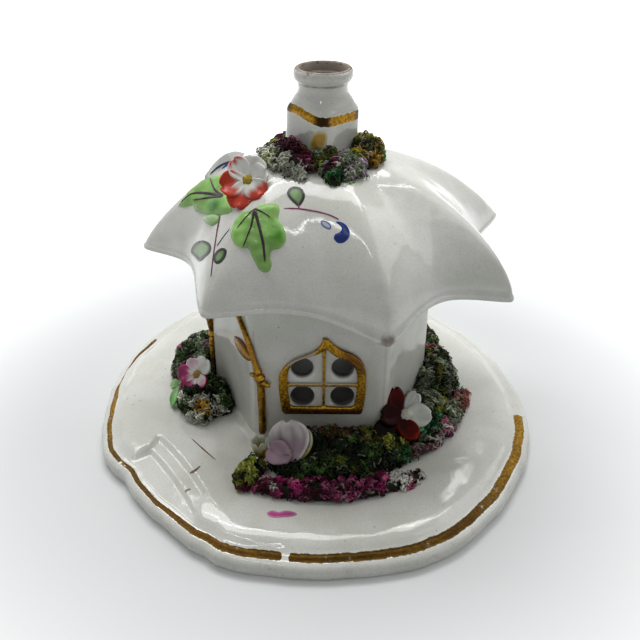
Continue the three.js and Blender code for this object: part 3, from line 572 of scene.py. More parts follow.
# %% Outline and section of the base
BASE_HALF_WIDTH = 67.4
BASE_HALF_DEPTH = 75.2
BASE_TWIST = 10
BAY_AZIMUTH = -47
BAY_FRONT = 71.4
BAY_SHARPNESS = 30  # of the corners where the oval is cut
STEPS_AZIMUTH = -55
OUTLINE_DRIFT = [  # degrees from +X, and how far the real outline strays outward there
    (0, 0.4), (20, 0), (190, 0), (205, 1.7), (210, 1.2), (215, 0.3), (221, 1), (230, 1.6),
    (238, 1.1), (243, 1.6), (247, 0.7), (250, 1.2), (255, 0), (262, -1.2), (271, -1.6),
    (283, -1.3), (288, -0.7), (293, 0.2), (304, 0.35), (314, -0.2), (327, -0.4), (336, 0.4),
    (343, 0.8), (360, 0.4),
]
BASE_SECTION = [  # how far in from the outline, and the level
    (7.2, 3.5), (6.4, 0.6), (5.6, 0.0), (1.4, 0.0), (0.5, 0.5), (0, 2.5), (0.6, 4.1),
    (1.9, 4.85), (4, 5.0), (5.2, 5.5), (7.2, 6.7), (10, 7.33), (13.5, 7.5),
]
SECTION_RINGS = 76
INNER_ROWS = 84
BASE_COLUMNS = 560
STEPS = [(54.8, 6.4, 0.0), (59.6, 5.2, 1.0)]  # where each starts, its level, how far it is drawn in
STEPS_RIGHT = [(54.8, 25), (58.8, 28), (64.4, 35), (91.4, 51)]  # how far out, and the end there
STEPS_LEFT = -5.5
STEPS_BOW = 0.004  # how much the steps' inner edge curves
SLIP_HEIGHT = 1.4  # the fillet at the foot of the walls
SLIP_REACH = 2.6


def base_radius(angle):
    """From the base's centre to its outline: an oval, cut almost straight in front of the steps."""
    local = angle - radians(BASE_TWIST)
    oval = 1 / np.hypot(np.cos(local) / BASE_HALF_WIDTH, np.sin(local) / BASE_HALF_DEPTH)
    way = outward(BAY_AZIMUTH)
    facing = np.cos(angle) * way[0] + np.sin(angle) * way[1]
    straight = (BAY_FRONT + COTTAGE[:2] @ way) / np.maximum(facing, 0.5)
    cut = (oval**-BAY_SHARPNESS + straight**-BAY_SHARPNESS) ** (-1 / BAY_SHARPNESS)
    drift = np.interp(np.degrees(angle) % 360, *zip(*OUTLINE_DRIFT))
    return np.where(facing < 0.5, oval, cut) + drift


def garden_level(x, y, level):
    """Presses the two steps into the base and raises the slip at the foot of the walls."""
    x = x - COTTAGE[0]
    y = y - COTTAGE[1]
    way = outward(STEPS_AZIMUTH)
    out = x * way[0] + y * way[1]
    aside = -x * way[1] + y * way[0]
    right = np.interp(out, *zip(*STEPS_RIGHT))
    left = STEPS_LEFT + 3.5 * ease(out, 54, 60)
    for start, tread, inset in STEPS:
        bow = start + STEPS_BOW * (aside - 10) ** 2
        inside = np.minimum.reduce([out - bow, aside - left - inset, right - inset - aside])
        level = level - np.maximum(level - tread, 0) * ease(inside, -0.25, 0.75)
    foot = np.maximum(np.abs(distance_to_walls(x, y) + 1.6) - 1.6, 0)
    return level + SLIP_HEIGHT * np.maximum(0, 1 - foot / SLIP_REACH) ** 2


# %% The gold line round the border
GOLD_INSET = 3.3  # millimetres in from the outline
GOLD_STARTS = -9  # degrees from +X; from here round the back to GOLD_ENDS the border has no gold
GOLD_ENDS = 151
NICK_AT = 264.4  # the decorator's brush left a gap here
STEPS_AT = 218
FRONT_AT = 262

angles = full_circle(BASE_COLUMNS)
round_base = np.degrees(angles)
at_steps = ease(-np.abs(round_base - STEPS_AT), -34, -16)
at_left = ease(round_base, 150, 175) * ease(-round_base, -260, -225)
thin = ease(round_base, 95, 125) * ease(-round_base, -182, -170)
half_line = 1.45 - 0.7 * at_left - 0.75 * thin
shut = 1 - ease(-np.abs(round_base - NICK_AT), -0.9, -0.5)
past_start = (round_base - GOLD_STARTS) % 360
bare_arc = GOLD_ENDS - GOLD_STARTS
unpainted = ease(past_start, 0, 1.5) * (1 - ease(past_start, bare_arc - 4, bare_arc))
# painted shade: the gold line is darker towards the front, where it reflects no lamp
shaded_front = 0.92 * ease(-np.abs(round_base - FRONT_AT), -115, -40)
dull_and_shaded_line = np.maximum.reduce([shaded_front, 0.5 * at_left, 0.7 * thin])
print("gold line is bare for", bare_arc, "degrees behind")

# %% The base as rings
# the floor inside the walls is painted dark: painted shade and soot
SOOT_AND_SHADE_ON_FLOOR = 0.85
EDGE_SHADE = 0.38
reach = base_radius(angles)
waves = ((0.12, 11, 2), (0.1, 23, 0), (0.07, 41, 1))  # the hand-made outline's unevenness
wobble = sum(size * np.sin(turns * angles + start) for size, turns, start in waves)
rows = [(*BASE_SECTION[0], 0.02), (*BASE_SECTION[0], 0.5)]
rows += [(inset, level, 1.0) for inset, level in smooth_curve(BASE_SECTION, SECTION_RINGS)]
rows += [(*BASE_SECTION[-1], shrink) for shrink in np.linspace(1, 0.004, INNER_ROWS)[1:]]
points = []
masks = {label: [] for label in ("gilt", "gilt_wear", "dim_and_shade", "soot", "stain")}
for inset, level, shrink in rows:
    radius = (reach + wobble * min(1, shrink + 0.2) - inset) * shrink
    x = radius * np.cos(angles)
    y = radius * np.sin(angles)
    height = np.full_like(x, level)
    line = soot = 0 * angles
    if level > 4.5:
        height = garden_level(x, y, height) + 0.10 * np.sin(0.11 * x + 1) * np.sin(0.13 * y)
        inside_walls = -distance_to_walls(x - COTTAGE[0], y - COTTAGE[1])
        soot = SOOT_AND_SHADE_ON_FLOOR * ease(inside_walls, 1.5, 3.5)
        if shrink == 1.0:
            off_line = np.abs(inset - GOLD_INSET + 0.7 * at_left)
            line = np.maximum(0, 1 - off_line / (2 * half_line)) * shut * (1 - unpainted)
    points.append(np.stack([x, y, np.maximum(height, 0)], -1))
    masks["gilt"].append(line)
    masks["gilt_wear"].append(0.2 + 0.7 * at_steps)
    masks["dim_and_shade"].append(dull_and_shaded_line)
    masks["soot"].append(soot)
    # painted shade darkens the base's lower rim all round; the steps carry real dirt
    edge_shade = EDGE_SHADE if level < 4.6 and shrink == 1.0 and inset < 2 else 0.0
    masks["stain"].append(edge_shade + 0.3 * at_steps * (1 if 2 < inset < 8 else 0))
points = np.concatenate(points)
middle_low = len(points)
points = np.vstack([points, [0, 0, BASE_SECTION[0][1]], [0, 0, GROUND]])
faces = ring_faces(len(rows), BASE_COLUMNS)
last = (len(rows) - 1) * BASE_COLUMNS
for j in range(BASE_COLUMNS):
    k = (j + 1) % BASE_COLUMNS
    faces.append((middle_low, k, j))
    faces.append((middle_low + 1, last + j, last + k))
masks = {label: np.append(np.concatenate(values), [0, 0]) for label, values in masks.items()}
masks["soot"][-1] = SOOT_AND_SHADE_ON_FLOOR
base = mesh_piece("base", points, faces, porcelain, **masks)
finished(base, "porcelain", "base_plinth")
print("base", len(base.data.vertices), "points")

# %% [markdown]
# ## Walls and window
# The walls were cast in a mould, and the glaze has rounded every edge of their openings. A copy of
# the CAD walls is melted for this: a fine voxel remesh followed by smoothing keeps the flat faces
# flat and rounds the edges, as glaze does. The window's moulding takes the same treatment, finer.

# %% Walls


def melted(node, name, voxel, passes, material):
    """A softened copy of a CAD node; voxel is in millimetres."""
    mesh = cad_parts[node].data.copy()
    mesh.materials.clear()
    piece = linked_object(name, mesh, material)
    remesh = piece.modifiers.new("melt", "REMESH")
    remesh.mode = "VOXEL"
    remesh.voxel_size = voxel * MM
    soften = piece.modifiers.new("soften", "SMOOTH")
    soften.iterations = passes
    soften.factor = 0.5
    return bake(piece)


SHADE_INSIDE_FROM = 16  # levels between which the inside, seen through the window, is painted dark: painted shade and soot
SHADE_INSIDE_TO = 45
walls = melted("cottage_walls", "walls", 0.55, 9, porcelain)
places = points_of(walls) - COTTAGE
behind = -distance_to_walls(places[:, 0], places[:, 1])
shaded_inside = (places[:, 2] > SHADE_INSIDE_FROM) * (places[:, 2] < SHADE_INSIDE_TO)
# the inside of the walls between two levels is painted dark: painted shade and soot
carry(walls.data, soot=0.9 * ease(behind, 0.35, 1.5) * shaded_inside)
finished(walls, "porcelain", "cottage_walls")

# %% The window's moulding
WINDOW_MIDDLE = COTTAGE[0] + 0.8
SILL = 17.7
UPRIGHT_X = 0.4  # from the window's middle
CROSS_BAR = 10.1  # above the sill
BAR_HALF = 0.9
OPENING_HALF = 9.3
OPENING_FOOT, OPENING_TOP = 3.2, 19.5  # above the sill
window = melted("window_frame", "window_moulding", 0.24, 5, gilding_material)
places = points_of(window)
aside = places[:, 0] - WINDOW_MIDDLE
above = places[:, 2] - SILL
in_opening = (np.abs(aside) < OPENING_HALF) & (above > OPENING_FOOT) & (above < OPENING_TOP)
off_bars = np.minimum(np.abs(aside - UPRIGHT_X), np.abs(above - CROSS_BAR))
bare = np.where(in_opening & (off_bars < BAR_HALF), 0.85 * ease(off_bars, 0.15, 0.5), 0)
worn_shoulder = ease(-aside, 1.0, 2.5) * ease(-aside, -10.5, -8.5) * ease(above, 15.5, 17.5)
hollow = 0.95 * ease(-above, -2.5, -1.1) * (0.45 + 0.55 * ease(aside, -9, -1))
at_right = 0.75 * ease(aside + 0.4 * above, 12.5, 15.5) * ease(above, 12, 16)
carry(window.data, bare=np.maximum(bare, 0.55 * worn_shoulder), hollow=np.maximum(hollow, at_right))
finished(window, "gilding", "window_frame")
print("walls", len(walls.data.vertices), "window", len(window.data.vertices))

# %% [markdown]
# ## The roof
# The roof is a shell pressed over a lobed mould, so it swells between soft ridges that run out to
# six drooping points. Every azimuth has one eave point, and a curve climbs from it to the chimney's
# seat. The ridges are sharper near the points than near the chimney. The outside, the rounded lip
# and the inside are one run of rings, so the shell has its real thickness from every side.

# %% The roof's surface
ROOF_TIPS = [  # azimuth, reach, level and bulge
    (-98, 55, 54, 1.15), (-41, 47, 54.5, 1.2), (20, 50.5, 53.5, 1.9),
    (65, 58.5, 54, 1.5), (115, 63, 57, 1.1), (186, 56, 55, 1.4),
]
ROOF_VALLEYS = [39, 39.5, 45, 47, 44, 42]  # the eave's reach after each tip
ROOF_NECK = 12
VALLEY_LEVEL = 57.5
VALLEY_BULGE = 1.45
TIP_POWER = 2.1  # how pointed the eave is in plan
ROOF_RISE = 1.7  # how flat the roof starts out from the chimney


def eave(azimuth, blunt):
    """The eave's radius, level and bulge at each azimuth; blunt rounds the ridge."""
    azimuth = np.asarray(azimuth, float)
    radius, level, bulge = (np.zeros_like(azimuth) for _ in range(3))
    for i, tip in enumerate(ROOF_TIPS):
        after = ROOF_TIPS[(i + 1) % len(ROOF_TIPS)]
        span = (after[0] - tip[0]) % 360
        past = (azimuth - tip[0]) % 360
        here = past <= span
        along = np.where(here, past / span, 0)
        near = np.minimum(along, 1 - along)
        ridge = np.maximum(0, 1 - 2 * np.hypot(near, blunt)) / (1 - 2 * blunt)
        ridge = np.minimum(ridge, 1) ** TIP_POWER
        between = [a + (b - a) * along for a, b in zip(tip[1:], after[1:])]
        radius = np.where(here, ROOF_VALLEYS[i] + (between[0] - ROOF_VALLEYS[i]) * ridge, radius)
        level = np.where(here, VALLEY_LEVEL + (between[1] - VALLEY_LEVEL) * ridge, level)
        bulge = np.where(here, VALLEY_BULGE + (between[2] - VALLEY_BULGE) * ridge**0.6, bulge)
    return radius, level, bulge


def roof_point(azimuth, share, sink=0.0, draw=0.0):
    """A point of the roof in the cottage's frame: share 0 is the chimney's seat and 1 the eave."""
    azimuth, share = np.asarray(azimuth, float), np.asarray(share, float)
    radius, level, bulge = eave(azimuth, 0.10 - 0.075 * share)
    out = ROOF_NECK + (radius - draw - ROOF_NECK) * share
    fall = 1 - (1 - share**ROOF_RISE) ** (1 / bulge)
    height = ROOF_TOP - (ROOF_TOP - level) * fall - sink
    turn = np.radians(azimuth)
    hand = 0.22 * np.sin(turn * 7 + 5 * share) + 0.15 * np.sin(turn * 13 - 9 * share)
    way = outward(azimuth) * out[..., None]
    return np.concatenate([way, (height + hand * share * (1 - share) * 2)[..., None]], -1)


def roof_place(azimuth, share):
    """One point of the roof, in the base's frame."""
    return roof_point([azimuth], [share])[0] + COTTAGE


def near_place(points, place, reach):
    return bell(np.linalg.norm(points - place, axis=1), reach)


# %% The roof as rings
TURNS_PER_SPAN = 84
OUTSIDE_ROWS, EAVE_ROWS, LIP_ROWS, INSIDE_ROWS = 66, 12, 9, 26
EAVE_FROM = 0.9  # the rows are closer from here to the eave
LIP_RADIUS = 0.8
LIP_DRAW = 0.45
SHELL = 2.6  # the shell's thickness below its outside, drawn in by INSIDE_DRAW
INSIDE_DRAW = 1.2

roof_turns = []
for i, tip in enumerate(ROOF_TIPS):
    span = (ROOF_TIPS[(i + 1) % len(ROOF_TIPS)][0] - tip[0]) % 360
    even = np.arange(TURNS_PER_SPAN) / TURNS_PER_SPAN
    roof_turns.append(tip[0] + span * (even - 0.1 * np.sin(2 * pi * even)))
roof_turns = np.concatenate(roof_turns)
full = np.ones_like(roof_turns)
down_to_eave = np.linspace(EAVE_FROM, 1, EAVE_ROWS)[1:]
outer = np.concatenate([np.linspace(0, EAVE_FROM, OUTSIDE_ROWS), down_to_eave])
rings = [roof_point(roof_turns, s * full) for s in outer]
for turn in np.linspace(0, pi, LIP_ROWS)[1:]:
    rings.append(roof_point(roof_turns, full, LIP_RADIUS * (1 - cos(turn)), -LIP_DRAW * sin(turn)))
for s in np.linspace(0.97, 0.04, INSIDE_ROWS):
    rings.append(roof_point(roof_turns, s * full, SHELL, INSIDE_DRAW))
flue = np.column_stack([outward(roof_turns) * FLUE_RADIUS, ROOF_TOP * full])
rings += [flue - [0, 0, SHELL], flue]
points = np.concatenate(rings) + COTTAGE
faces = [f[::-1] for f in ring_faces(len(rings), len(roof_turns), closed=True)]
chip = near_place(points, roof_place(20, 1), 3.2)
stain = 0.75 * chip + 0.1 * near_place(points, roof_place(-60, 0.4), 8)
for tip in ROOF_TIPS:
    stain = np.maximum(stain, 0.5 * near_place(points, roof_place(tip[0], 1), 1.6))
roof = mesh_piece("roof_shell", points, faces, porcelain, stain=stain)
finished(roof, "porcelain", "roof")
roof_surface = surface_of(roof)
print("roof", len(roof.data.vertices), "points")

# %% [markdown]
# Under the roof a collar seats it on the walls. It is the same shell of clay, seen only from below.

# %% Collar


def wall_corners(grow):
    """The walls' six corners, moved outward, from the window face's left corner on."""
    side = WALL_CORNER + grow / cos(WALL_SLOPE)
    face = WALL_FACE + grow
    front = side - face * (sin(WALL_SLOPE) / cos(WALL_SLOPE))
    before, behind = [(-front, -face), (front, -face)], [(front, face), (-front, face)]
    return np.array([*before, (side, 0), *behind, (-side, 0)])


RING_STEPS = 26  # points along each wall
CORNER_CUT = 3.2  # millimetres from a corner to where its rounding starts


def wall_ring(grow):
    """A level ring at the top of the walls, with rounded corners."""
    corners = wall_corners(grow)
    ring = []
    for i, corner in enumerate(corners):
        before, after = (corners[(i + step) % 6] - corner for step in (-1, 1))
        a = corner + unit(before) * CORNER_CUT
        b = corner + unit(after) * CORNER_CUT
        for t in np.linspace(0, 1, 8):
            ring.append((1 - t) ** 2 * a + 2 * t * (1 - t) * corner + t * t * b)
        c = corners[(i + 1) % 6] - unit(after) * CORNER_CUT
        for t in np.linspace(0, 1, RING_STEPS)[1:-1]:
            ring.append(b + (c - b) * t)
    ring = np.array(ring)
    return np.column_stack([ring, np.full(len(ring), WALL_TOP)])


COLLAR_GAP = 1.5  # below the roof's outside, so that the collar ends inside the shell


def under_roof(ring):
    """The ring lifted until it meets the roof from inside."""
    lifted = ring.copy()
    for i, (x, y, _) in enumerate(ring):
        high = Vector((x + COTTAGE[0], y + COTTAGE[1], 120)) * MM
        lifted[i, 2] = roof_surface.ray_cast(high, Vector((0, 0, -1)))[0].z / MM - COLLAR_GAP
    return lifted


outer, inner = wall_ring(-0.5), wall_ring(-3.0)
rings = [outer, under_roof(outer), under_roof(inner), inner]
points = np.concatenate(rings) + COTTAGE
collar = mesh_piece("roof_collar", points, ring_faces(4, len(outer), closed=True), porcelain)
finished(collar, "porcelain")
print("collar", len(points), "points")

# %% [markdown]
# ## The chimney
# A square stack, set with a corner forward, rounds off into a small pot with a rolled lip. Each
# ring is a superellipse whose power falls from nearly square to round, as the clay itself goes from
# one to the other. A gold line follows the stack's top edge, and the lip has a worn gold touch.

# %% Chimney rings
CHIMNEY_TOP = 110
CHIMNEY = [  # half the width, how square (2 is round), and the level
    (FLUE_RADIUS, 2, ROOF_TOP), (8.4, 5, ROOF_TOP), (8.3, 5, 88), (8.1, 5, 93), (8.05, 5, 97),
    (7.95, 4.8, 99.2), (7.4, 4, 100.6), (7.25, 2.8, 102), (6.85, 2.2, 103.4), (6.8, 2, 104.8),
    (7.1, 2, 106.2), (7.85, 2, 107.1), (8.15, 2, 108.2), (7.9, 2, 109.4), (7.25, 2, CHIMNEY_TOP),
    (6.5, 2, 109.6), (5.8, 2, 107.5), (FLUE_RADIUS, 2, 104.2), (FLUE_RADIUS, 2, 95),
]
PROFILE_RINGS = 96
OUTER_RINGS = 70  # of the rings, as many are outside; the rest are in the flue
FLUE_RINGS = 6
CHIMNEY_COLUMNS = 120
CHIMNEY_LEAN = 0.5  # millimetres over its height
BAND_LEVEL = 99.5
BAND_DROOP = 2.4  # the gold band sags and widens on the side seen in the photograph
POT_LEVEL = 104
UNDER_LIP = 106.3

turns = full_circle(CHIMNEY_COLUMNS)
at_corner = ease(np.cos(4 * (turns + pi / 4)), 0.2, 0.95)
around = (turns + pi / 4 + pi / 2) % (2 * pi)
droop = BAND_DROOP * ease(around, -0.3 * pi, 0.12 * pi) * (1 - ease(around, 0.6 * pi, pi))
droop = np.maximum(droop, BAND_DROOP * ease(around, 1.62 * pi, 2.1 * pi))
flue_profile = smooth_curve([CHIMNEY[-1], CHIMNEY[0]], FLUE_RINGS)
profile = np.vstack([smooth_curve(CHIMNEY[1:], PROFILE_RINGS), flue_profile[1:]])
points = []
masks = {label: [] for label in ("gilt", "gilt_wear", "dim_and_shade", "stain")}
for i, (half, power, level) in enumerate(profile):
    spread = (np.abs(np.cos(turns)) ** power + np.abs(np.sin(turns)) ** power) ** (1 / power)
    radius = half / spread * (1 + 0.008 * np.sin(3 * turns + 0.3 * level))
    lean = CHIMNEY_LEAN * (level - ROOF_TOP) / (CHIMNEY_TOP - ROOF_TOP)
    x = radius * np.cos(turns + pi / 4) + lean
    y = radius * np.sin(turns + pi / 4)
    points.append(np.stack([x, y, np.full_like(turns, level)], -1))
    outside = 1.0 if i < OUTER_RINGS else 0.0
    off_band = np.abs(level - BAND_LEVEL + 0.8 * droop) / (2.2 + 0.2 * droop)
    lip = max(0, 0.49 - max(0, 109.3 - level) / 2.5) if level > 107.5 else 0
    masks["gilt"].append(np.maximum(outside * np.maximum(0, 1 - off_band), lip))
    masks["gilt_wear"].append(np.full(CHIMNEY_COLUMNS, 0.25 if level < POT_LEVEL else 0.85))
    # the stack's band is darker at its corners, and the lip's gold is browner
    masks["dim_and_shade"].append(np.where(level < POT_LEVEL, 0.3 + 0.7 * at_corner, 0.75))
    # painted shade under the rolled lip, painted shade and soot inside the flue, and dirt on the
    # lip's top
    dirt_and_shade = 0.58 * bell(level - UNDER_LIP, 0.7)
    dirt_and_shade += 0.42 * (level > 107.6) + 0.36 * (1 - outside)
    masks["stain"].append(np.full(CHIMNEY_COLUMNS, dirt_and_shade))
faces = ring_faces(len(points), CHIMNEY_COLUMNS, closed=True)
masks = {label: np.concatenate(values) for label, values in masks.items()}
chimney = mesh_piece("chimney_stack", np.concatenate(points) + COTTAGE, faces, porcelain, **masks)
finished(chimney, "porcelain", "chimney")
print("chimney", len(chimney.data.vertices), "points")

# %% [markdown]
# ## The door's twigs
# Two rustic twigs frame the painted-out door, with a knot and a side stub each, and a pointed bud
# hangs from the right one. They were rolled by hand, so their thickness changes all the way. A tube
# is swept along a curve that hugs the wall, and its radius swells at the knots.

# %% Twigs


def on_wall(run, level, lift):
    """A point on the walls: run starts at the window face's left corner, towards the window."""
    corners = wall_corners(lift)
    way = corners[1 if run >= 0 else 5] - corners[0]
    length = np.linalg.norm(way)
    share = abs(run) / length
    if run < 0 and share > 1:
        spot = corners[5] + unit(corners[4] - corners[5]) * (share - 1) * length
    else:
        spot = corners[0] + way * share
    return np.array([*spot, level]) + COTTAGE


TUBE_SIDES = 14


def tube(path, radii):
    """Rings along a path, with rounded ends; returns points and faces."""
    tangents = unit(np.gradient(path, axis=0))
    side = np.cross(tangents[0], [0.3, 0.2, 0.93])
    points = []
    angle = full_circle(TUBE_SIDES)
    for at, way, radius in zip(path, tangents, radii):
        side = unit(side - way * (side @ way))
        other = np.cross(way, side)
        around = np.cos(angle)[:, None] * side + np.sin(angle)[:, None] * other
        points.append(at + radius * around)
    faces = ring_faces(len(path), TUBE_SIDES)
    faces.append(tuple(range(TUBE_SIDES))[::-1])
    faces.append(tuple(range((len(path) - 1) * TUBE_SIDES, len(path) * TUBE_SIDES)))
    return np.concatenate(points), faces


def joined(parts):
    """Several (points, faces) as one."""
    points, faces = [], []
    for part_points, part_faces in parts:
        start = sum(len(p) for p in points)
        points.append(part_points)
        faces += [tuple(start + i for i in face) for face in part_faces]
    return np.concatenate(points), faces


TWIG_SAMPLES = 90
KNOT_REACH = 0.022  # as a share of the twig's length
STUB_TAPER = np.array([1, 1, 0.95, 0.9, 0.85, 0.8, 0.65, 0.25])


def twig(name, node, route, thickness, knots, stubs):
    """A twig: thickness is a list of radii along the route, knots are (share, size)."""
    path = smooth_curve([on_wall(run, level, 0.45) for run, level in route], TWIG_SAMPLES)
    along = np.linspace(0, 1, TWIG_SAMPLES)
    radii = np.interp(along, np.linspace(0, 1, len(thickness)), thickness)
    for share, size in knots:
        radii = radii + size * bell(along - share, KNOT_REACH)
    radii *= 1 + 0.05 * np.sin(29 * along) + 0.02 * np.sin(61 * along)
    radii *= np.minimum(1, np.sqrt(np.maximum(0.02, np.minimum(along, 1 - along) / 0.02)))
    parts = [tube(path, radii)]
    for start, end, radius in stubs:
        branch = smooth_curve([on_wall(*start, 0.6), on_wall(*end, 1.1)], len(STUB_TAPER))
        parts.append(tube(branch, radius * STUB_TAPER))
    points, faces = joined(parts)
    hollow = 0.45 * (0.5 + 0.5 * np.sin(points[:, 2] * 1.1 + points[:, 0] * 2))
    # darker brown towards the bottom
    hollow = np.maximum(hollow, 0.85 * ease(-points[:, 2], -17, -10))
    piece = mesh_piece(name, points, faces, gilding_material, hollow=hollow)
    return finished(piece, "gilding", node)


twig(
    "twig_right", "door_twig_right",
    [(2.4, GROUND + 2.2), (2.5, 18), (2.3, 29), (1, 35), (-2.5, 42), (-8.5, 46.5), (-16.2, 52)],
    [1.0, 1.15, 1.05, 0.8, 0.75, 0.85, 0.8],
    [(0.36, 0.75), (0.42, 0.3), (0.6, 0.15)],
    [((2.3, 29), (5.6, 27.6), 0.95), ((2.2, 30.5), (-0.6, 31.8), 0.8)],
)
twig(
    "twig_left", "door_twig_left",
    [(-33, GROUND + 2.5), (-34.4, 16), (-36, 24), (-35, 31), (-31.5, 38), (-25, 46), (-18.4, 52)],
    [0.5, 0.6, 1.2, 1.3, 1.2, 1.1, 0.9],
    [(0.36, 0.7), (0.52, 0.25)],
    [((-36, 24.4), (-33.2, 22.4), 0.9)],
)
print("twigs are on the walls")

# %% The bud on the right twig
BUD_LENGTH = 12.5
BUD_WIDTH = 4.8
BUD_HEIGHT = 1.5
BUD_ROWS, BUD_COLUMNS = 26, 15


def grid_faces(rows_count, columns):
    """Faces of a grid of points, row by row."""
    numbers = np.arange(rows_count * columns).reshape(rows_count, columns)
    near, far = numbers[:-1], numbers[1:]
    corners = (near[:, :-1], near[:, 1:], far[:, 1:], far[:, :-1])
    return list(zip(*(corner.ravel().tolist() for corner in corners)))


bud_from = on_wall(-0.6, 35.9, 0.2)
bud_way = unit(on_wall(-12, 36.6, 0.2) - bud_from)
bud_out = unit(np.cross([0, 0, 1], bud_way))
bud_up = np.cross(bud_out, bud_way)
u, v = np.meshgrid(np.linspace(0, 1, BUD_ROWS), np.linspace(-1, 1, BUD_COLUMNS), indexing="ij")
half = 0.5 * BUD_WIDTH * np.sin(pi * u**0.75) ** 0.8
lift = BUD_HEIGHT * np.sqrt(np.maximum(0, 1 - v**2)) * np.sin(pi * np.clip(u, 0.02, 0.98)) ** 0.5
flat = bud_from + u[..., None] * BUD_LENGTH * bud_way + (v * half)[..., None] * bud_up
grid = (flat + (lift - 0.2)[..., None] * bud_out).reshape(-1, 3)
rim_dark = ease(np.abs(v), 0.55, 0.9)
faces = grid_faces(BUD_ROWS, BUD_COLUMNS)
bud = mesh_piece("twig_bud", grid, faces, gilding_material, hollow=(0.35 + 0.6 * rim_dark).ravel())
finished(bud, "gilding", "door_leaf_bud")
print("bud", len(grid), "points")

# %% [markdown]
# ## The moss
# The moss is clay pushed through a fine sieve and laid on in tufts, then brushed with enamels that
# catch the tips and leave white clay in the hollows. A softened copy of each CAD bank, painted near
# black as the shade between the curls, is its bed. Tufts are scattered over the bed, each a few
# short curls that arch over and dive back, in one colour with painted shade along them. Neighbouring
# tufts are alike, so the banks get the drifts of colour that the real one has.

# %% Curls of clay
CURL_RINGS = 7
CURL_SIDES = 5


def curls(starts, ways, ups, lengths, heights, sway, radii, colours):
    """Many curls of clay: each leaves the bank, arches over and dives back. One colour per curl, in
    painted shade: darker at its foot, lighter at its crest.
    """
    count = len(starts)
    t = np.linspace(0, 1, CURL_RINGS)
    side = unit(np.cross(ways, ups))
    arch = np.sin(pi * t)
    wave = np.sin(2 * pi * t)
    spine = starts[:, None, :] + ways[:, None, :] * (lengths[:, None] * (t - 0.5))[..., None]
    spine = spine + ups[:, None, :] * (heights[:, None] * arch - 0.25 * (1 - arch))[..., None]
    spine = spine + side[:, None, :] * (sway[:, None] * wave)[..., None]
    tangents = unit(np.gradient(spine, axis=1))
    across = np.broadcast_to(side[:, None, :], tangents.shape)
    over = np.cross(tangents, across)
    angle = full_circle(CURL_SIDES)
    taper = radii[:, None] * (0.55 + 0.5 * arch**0.5)
    section = np.cos(angle)[:, None] * across[:, :, None, :]
    section = section + np.sin(angle)[:, None] * over[:, :, None, :]
    points = (spine[:, :, None, :] + section * taper[:, :, None, None]).reshape(-1, 3)
    per_curl = CURL_RINGS * CURL_SIDES
    faces = np.array(ring_faces(CURL_RINGS, CURL_SIDES))
    faces = (faces[None] + (np.arange(count) * per_curl)[:, None, None]).reshape(-1, 4).tolist()
    # painted shade: each curl is darker where it meets the bank and lighter at its crest
    shade = np.repeat(0.3 + 0.85 * arch, CURL_SIDES)
    tint = colours[:, None, :] * shade[None, :, None]
    tint[..., 3] = 1
    return points, faces, tint.reshape(-1, 4)


# %% Where the flowers stand
KEEP_CLEAR = []  # what stands in the moss keeps it away: a middle in millimetres, and a reach


def keep_clear(spot, reach, lift):
    """No curls grow within reach of a point lifted off a spot."""
    point, normal = spot
    KEEP_CLEAR.append((np.array(point) + COTTAGE + lift * np.array(normal), reach))


def roof_spot(azimuth, radius):
    """A point on the roof and the way it faces, in the cottage's frame."""
    def at(a, r):
        share = (r - ROOF_NECK) / (eave(np.array([a]), 0.05)[0] - ROOF_NECK)
        return roof_point([a], share)[0]
    point = at(azimuth, radius)
    normal = np.cross(at(azimuth, radius + 1) - point, at(azimuth + 2, radius) - point)
    return point, unit(normal)


def garden_spot(azimuth, radius, level, faces_to, tilt):
    """A point in the garden that faces an azimuth and is tilted up, in the cottage's frame."""
    look = outward(faces_to) * cos(radians(tilt))
    return np.array([*(outward(azimuth) * radius), level]), np.array([*look, sin(radians(tilt))])


def turned_to_camera(spot, share, lift):
    """A spot whose face is turned from its surface towards the camera."""
    point, normal = spot
    to_camera = np.array(CAMERA_AT) / MM - point - COTTAGE
    facing = (1 - share) * normal + share * to_camera / np.linalg.norm(to_camera)
    return point + lift * normal, unit(facing)


ROOF_FLOWER = turned_to_camera(roof_spot(-54, 23), 0.55, 1.8)
LEFT_FLOWER = garden_spot(-74, 39.5, 17.5, -35, 40)
FRONT_FLOWER = garden_spot(-10, 39.5, 13.5, -28, 42)
RIGHT_FLOWER = garden_spot(41, 37.5, 14.3, 12, 46)
CLOSED_BLOSSOM = garden_spot(-21.9, 43.6, 9.0, -40, 80)
LEFT_LEAF_SPOT = garden_spot(-77, 45.6, 13.2, -60, 45)
keep_clear(LEFT_FLOWER, 5.2, 2)
keep_clear(FRONT_FLOWER, 7.2, 1.5)
keep_clear(RIGHT_FLOWER, 6.4, 2)
keep_clear(CLOSED_BLOSSOM, 3.0, 2)
keep_clear(LEFT_LEAF_SPOT, 3.6, 1)
TWIG_ROOM = 2.4
for run, level in ((2.4, GROUND + 4), (-33, GROUND + 4), (-33.6, GROUND + 9)):
    KEEP_CLEAR.append((on_wall(run, level, 0.5), TWIG_ROOM))
print("the moss leaves", len(KEEP_CLEAR), "places free")

# %% Places for the tufts

ROOF_BANKS_FROM = 50  # the banks above this level are the chimney's
BANKS_UNDER_ROOF = 9  # how far they reach below the roof's top
WALL_CLEAR = 0.8
LOWEST_TILT = -0.25  # faces that look further down than this carry no moss


